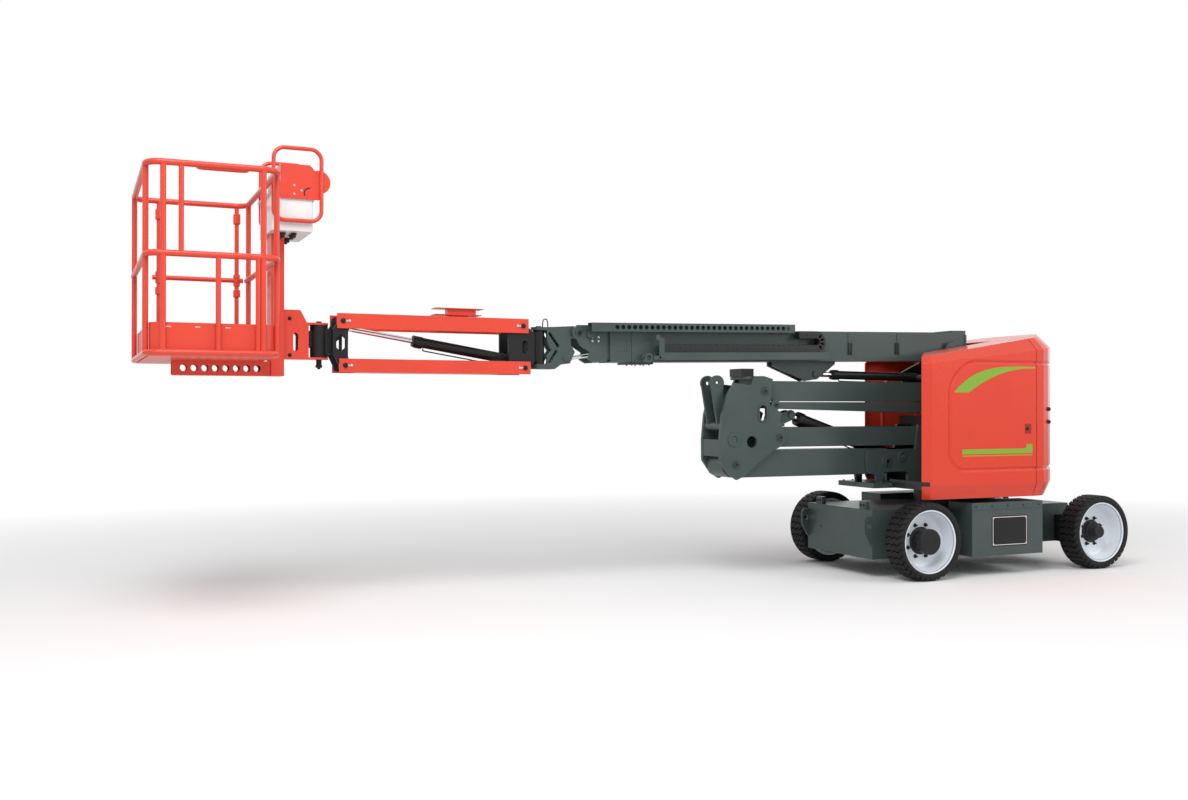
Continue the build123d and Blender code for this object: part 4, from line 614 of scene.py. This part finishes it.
def staple(start, end, rise, square=0.35, steps=40):
    """Path of a bent bar: middle + half * |cos t|^square + rise * |sin t|^square for t from 0 to pi."""
    start, end, rise = [np.array(p, dtype=float) for p in (start, end, rise)]
    t = np.linspace(0, np.pi, steps)[:, None]
    sweep = np.sign(np.cos(t)) * np.abs(np.cos(t)) ** square
    return (start + end) / 2 + (start - end) / 2 * sweep + rise * np.sin(t) ** square


dress(cast, "jib_base", "jib_front")
dress(red_plain, "jib_top_link", "jib_bottom_link")
top_low, top_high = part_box("jib_top_link")
low_low, low_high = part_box("jib_bottom_link")
END_TO_PIN = 0.040
BAR_OUT = 0.1212                                    # outer face of the bars from the middle line
top_z, low_z = top_low.z + 0.050, (low_low.z + low_high.z) / 2
JIB_PINS = [  # (body of the pin, bar that carries its keeper, pin ahead of the axle, height, way to the keeper)
    ("jib_base", "jib_top_link", top_low.x - DATUM + END_TO_PIN, top_z, 1.0),
    ("jib_front", "jib_top_link", top_high.x - DATUM - END_TO_PIN, top_z, -1.0),
    ("jib_base", "jib_bottom_link", low_low.x - DATUM + END_TO_PIN, low_z, 1.0),
    ("jib_front", "jib_bottom_link", low_high.x - DATUM - END_TO_PIN, low_z, -1.0),
]
for number, (body, bar, x, z, way) in enumerate(JIB_PINS):
    pin_ends("jib_pin_ends_%d" % number, body, [(x, z)], BAR_OUT + 0.0067, 0.0155, 0.0025)
    strips = [slab(at(x + way * 0.026, side * BAR_OUT, z), (0.032, 0.0024, 0.010), corner=0.004, edge=0.0005)
              for side in (1, -1)]
    screws = [part for side in (1, -1)
              for part in bolts([at(x + way * 0.042, side * (BAR_OUT + 0.001), z)], way=side, size=0.0080)]
    make("keepers_%d" % number, bar, zinc, *strips, *screws, slot="chrome")
REST_TOP = 2.006                                    # a bracket on the upper bar: a flat top on a low box
wall_z, wall_high = (REST_TOP + top_high.z) / 2 - 0.004, REST_TOP - top_high.z + 0.006
bracket = [slab(at(3.512, 0.0, REST_TOP), (0.350, 0.120, 0.005), axis="z", corner=0.012, edge=0.001)]
bracket += [slab(at(3.490, side * 0.036, wall_z), (0.200, 0.005, wall_high), corner=0.004, edge=0.0008)
            for side in (1, -1)]
bracket += [slab(at(x, 0.0, wall_z), (0.005, 0.072, wall_high), axis="x", corner=0.004, edge=0.0008)
            for x in (3.392, 3.588)]
make("jib_rest_bracket", "jib_top_link", red_plain, *bracket, slot="red_paint")
NOSE_PIVOT = (2.6290, 1.8582)
pin_ends("nose_pin_ends", "fly_boom", [NOSE_PIVOT], 0.0979, 0.016, 0.003)
HOOK_X, HOOK_Z = (2.848, 2.888), 1.884
hook = staple(at(HOOK_X[0], 0.030, HOOK_Z), at(HOOK_X[1], 0.030, HOOK_Z), (0, 0, 0.070), 0.6)
make("swing_hook", "boom_nose", black, tube(hook, 0.004), slot="black_paint")

# ---------------------------------------------------------------- rams
# Honed tubes in black enamel with a screwed gland at the mouth, and hard-chromed
# rods that are ground, polished and always a little oily. A steel feed pipe is
# brazed along the underside of each barrel, from the port at its foot to the gland.
chrome = paint("chrome_rod", (0.72, 0.72, 0.73), rough=0.10, coat=0.0, drift=0.02, peel=0.02, edge=0.001)
chrome.node_tree.nodes["Principled BSDF"].inputs["Metallic"].default_value = 1.0
dress(black, *[name + "_barrel" for name in ("riser", "boom", "level", "jib")])
dress(chrome, *[name + "_rod" for name in ("riser", "boom", "level", "jib")])
RAMS = {  # name: (foot pin, eye pin, barrel radius, barrel length)
    "riser": ((-0.212, 0.924), (0.800, 1.262), 0.050, 0.985),
    "boom": ((-0.460, 1.572), (0.574, 1.587), 0.034, 0.850),
    "jib": ((3.077, 1.651), (4.294, 1.850), 0.035, 0.760),
}


def along_ram(shape, foot, eye):
    """A shape drawn along X from a ram's foot, turned towards the eye and set on the foot."""
    lift = np.arctan2(eye[1] - foot[1], eye[0] - foot[0])
    x, y, z = shape[0].T
    points = np.stack([x * np.cos(lift) - z * np.sin(lift), y, z * np.cos(lift) + x * np.sin(lift)], axis=1)
    return points + np.array(at(foot[0], 0, foot[1])), shape[1]


for name, (foot, eye, radius, length) in RAMS.items():
    gland = [(length - 0.060, radius + 0.0035), (length - 0.060, radius + 0.0060), (length - 0.050, radius + 0.0065),
             (length - 0.012, radius + 0.0065), (length - 0.004, radius + 0.0050), (length - 0.004, radius + 0.0035),
             (length - 0.060, radius + 0.0035)]
    weld = [(0.060, radius - 0.001), (0.062, radius + 0.003), (0.068, radius + 0.003), (0.070, radius - 0.001),
            (0.060, radius - 0.001)]
    pipe = staple((0.085, 0, -radius), (length - 0.075, 0, -radius), (0, 0, -0.016), 0.12, 60)
    shapes = [turned(gland, (0, 0, 0), "x", sides=48), turned(weld, (0, 0, 0), "x", sides=48),
              tube(pipe, 0.0045, 10)]
    make(name + "_ram_fittings", name + "_barrel", black, *[along_ram(shape, foot, eye) for shape in shapes],
         slot="black_paint")

# ---------------------------------------------------------------- platform
# A basket of bent steel tube round a sheet floor, on a drilled beam and a square
# column, all in the same red. The white control box hangs under a hinged sheet
# cover between two hoops that keep a hand or a branch off its switches.
BOX_WHITE = (0.80, 0.80, 0.79)


def control_box(x, y, z):
    """The moulded box under the cover, clear of the hoops outside it."""
    return (1 - z.step(2.6895, 2.6905)) * (1 - abs(y).step(0.2515, 0.2525))


console_finish = paint("console_finish", RED, rough=0.32, coat=0.3, drift=0.04, edge=0.010, gloss=0.4,
                       marks=[(control_box, BOX_WHITE)])
dress(red_plain, "platform_mount", "platform_rails", "platform_floor", "entry_rail")
dress(console_finish, "console")
rails_low, rails_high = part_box("platform_rails")
RAIL_R, TOP_RAIL = 0.019, 2.735
SIDE_Y = rails_high.y - RAIL_R
BASKET = (rails_low.x + RAIL_R - DATUM, rails_high.x - RAIL_R - DATUM)    # middles of its front and rear tubes
rests = []
for side in (1, -1):
    ends = [at(BASKET[0] + x, side * (SIDE_Y - 0.002), TOP_RAIL - 0.004) for x in (0.18, 0.46)]
    rests.append(tube(staple(*ends, (0, -side * 0.050, -0.006), 0.3), 0.012))
make("hand_rests", "platform", red_plain, *rests, slot="red_paint")
collars = [slab(at(BASKET[1] - back, -SIDE_Y, z), (0.046, 0.052, height), axis="z", corner=0.010, edge=0.003)
           for back in (0.674, 0.160) for z, height in ((2.642, 0.070), (2.120, 0.05))]
make("post_collars", "platform", red_plain, *collars, slot="red_paint")
toe_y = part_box("platform_floor")[1].y - 0.0004
slots = [at(BASKET[0] + x, toe_y, 1.790) for x in (0.12, 0.29, 0.46, 0.62)]
toe_slot = slab((0, 0, 0), (0.030, 0.0016, 0.006), corner=0.0028, edge=0.0004)
make("toe_slots", "platform", zinc, repeated(toe_slot, slots), slot="chrome")

HOOD_OUT = 0.2615                                   # side plates of the sheet cover, from the middle line
SLOT_X, SLOT_Z, SLOT_R = 4.578, 2.690, 0.034        # the curved slot in which the cover's stop slides
disc = [(0, 0), (0, 0.075), (0.003, 0.075), (0.004, 0.074), (0.004, 0)]
side_plates, discs, heads, arcs = [], [], [], []
for way in (1, -1):
    side_plates.append(slab(at(4.640, way * HOOD_OUT, 2.705), (0.250, 0.005, 0.110), corner=0.008, edge=0.001))
    discs.append(turned(disc, at(4.520, way * (HOOD_OUT - 0.004), 2.765), way=way, sides=48))
    head_places = [at(x, way * (HOOD_OUT + 0.0025), z) for x, z in ((4.675, 2.735), (4.675, 2.680), (4.630, 2.705))]
    heads += bolts(head_places, way=way, size=0.0065)
    t = np.linspace(-0.5, 1.6, 14)
    arc = np.stack([DATUM + SLOT_X + SLOT_R * np.cos(t), np.full(len(t), way * (HOOD_OUT + 0.003)),
                    SLOT_Z + SLOT_R * np.sin(t)], axis=1)
    arcs.append(tube(arc, 0.0035, 8))
make("hood_plates", "platform", red_plain, *side_plates, *discs, slot="red_paint")
make("hood_bolts", "platform", zinc, *heads, slot="chrome")
make("hood_slots", "platform", black, *arcs, slot="black_paint")
white = paint("console_white", BOX_WHITE, rough=0.4, coat=0.1, edge=0.003)
flange = slab(at(4.7015, 0, 2.684), (0.262, 0.512, 0.010), axis="z", corner=0.020, edge=0.003)
make("box_flange", "platform", white, flange, slot="console_plastic")
gland = [(0, 0), (0, 0.018), (0.006, 0.020), (0.012, 0.020), (0.014, 0.014), (0.030, 0.013), (0.032, 0.009),
         (0.032, 0)]
glands = [turned(gland, at(x, y, 2.446), "z", -1, 12) for x in (4.66, 4.73) for y in (-0.16, -0.08, 0.08, 0.16)]
make("cable_glands", "platform", case, *glands, slot="pack_case")
mount_bolts = [at(4.668, 0.0605, 1.903), at(4.667, 0.0605, 1.664)]
make("mount_bolts", "platform", black, *bolts(mount_bolts, size=0.011), slot="black_paint")
DRIVE_X = 4.540
drive = [slab(at(DRIVE_X, 0.0, 1.772), (0.050, 0.060, 0.110), axis="z", corner=0.010, edge=0.003)]
drive += [slab(at(DRIVE_X, 0.0, z), (0.056, 0.066, 0.006), axis="z", corner=0.010, edge=0.001)
          for z in np.arange(1.728, 1.82, 0.0145)]
make("turn_drive", "platform", black, *drive, slot="black_paint")
nut = [(0, 0), (0, 0.022), (0.016, 0.022), (0.018, 0.018), (0.018, 0.010), (0.026, 0.010), (0.028, 0.008),
       (0.028, 0)]
make("turn_cap", "jib_front", black, turned(nut, at(4.468, 0, top_z - 0.291), "z", -1, 24), slot="black_paint")

# ---------------------------------------------------------------- stage, lamps and camera
# A seamless white studio floor that fades to plain white far from the machine, an
# even white sky, one broad key lamp and one fill.
bpy.context.scene.view_settings.view_transform = "Standard"
camera = bpy.data.objects.new("camera", bpy.data.cameras.new("camera"))
bpy.context.scene.collection.objects.link(camera)
camera.data.sensor_width = 36.0
camera.data.lens = 35.82
camera.data.clip_end = 300
camera.location = (DATUM + 5.988, 7.894, 1.325)
YAW, PITCH = 0.419, 0.006
look = Vector((-np.sin(YAW) * np.cos(PITCH), -np.cos(YAW) * np.cos(PITCH), np.sin(PITCH)))
camera.rotation_euler = look.to_track_quat("-Z", "Y").to_euler()
bpy.context.scene.camera = camera

FLOOR_HALF = 90
floor_mesh = bpy.data.meshes.new("floor")
floor_mesh.from_pydata([(s * FLOOR_HALF, t * FLOOR_HALF, 0) for s, t in ((-1, -1), (1, -1), (1, 1), (-1, 1))], [],
                       [(0, 1, 2, 3)])
floor = bpy.data.objects.new("floor", floor_mesh)
bpy.context.scene.collection.objects.link(floor)
floor_paint, floor_shader, floor_place = new_material("floor_paint")
floor_shader.inputs["Base Color"].default_value = (0.96, 0.96, 0.96, 1)
floor_shader.inputs["Roughness"].default_value = 0.9
floor_shader.inputs["Specular IOR Level"].default_value = 0.1
flat = floor_place.node("ShaderNodeVectorMath", {"operation": "MULTIPLY"}, {0: floor_place, 1: (0.8, 1.0, 0.0)})
far = flat.node("ShaderNodeVectorMath", {"operation": "LENGTH"}, {0: flat}, out=1).step(3.0, 9.0)


def ray_is(tree, *kinds):
    """1 for rays of any of the kinds."""
    rays = tree.nodes.new("ShaderNodeLightPath")
    return sum(Flow(tree, rays.outputs["Is %s Ray" % kind]) for kind in kinds)


floor_tree = floor_paint.node_tree
seen = ray_is(floor_tree, "Camera")
glow = floor_tree.nodes.new("ShaderNodeEmission")
blend = floor_tree.nodes.new("ShaderNodeMixShader")
floor_tree.links.new((far * seen).socket, blend.inputs[0])
floor_tree.links.new(floor_shader.outputs[0], blend.inputs[1])
floor_tree.links.new(glow.outputs[0], blend.inputs[2])
floor_tree.links.new(blend.outputs[0], floor_tree.nodes["Material Output"].inputs["Surface"])
floor_mesh.materials.append(floor_paint)

SKY_LIGHT = 0.52                                    # strength of the sky for all but the rays that show it
world = bpy.data.worlds.new("studio")
world.use_nodes = True
bpy.context.scene.world = world
shows = ray_is(world.node_tree, "Camera", "Glossy", "Transmission")
strength = shows.math("MINIMUM", 1.0) * (1.0 - SKY_LIGHT) + SKY_LIGHT
sky = world.node_tree.nodes["Background"]
sky.inputs["Color"].default_value = (1, 1, 1, 1)
world.node_tree.links.new(strength.socket, sky.inputs["Strength"])


def lamp(name, place, aim, size, power):
    """Square soft lamp at place that looks at aim."""
    data = bpy.data.lights.new(name, "AREA")
    data.size, data.energy = size, power
    made = bpy.data.objects.new(name, data)
    bpy.context.scene.collection.objects.link(made)
    made.location = place
    made.rotation_euler = (Vector(aim) - Vector(place)).to_track_quat("-Z", "Y").to_euler()


lamp("key", (4.5, 5.5, 8.0), (0.0, 0.0, 1.0), 5.0, 560)
lamp("fill", (-7.0, 6.0, 5.0), (0.0, 0.0, 1.0), 5.0, 200)
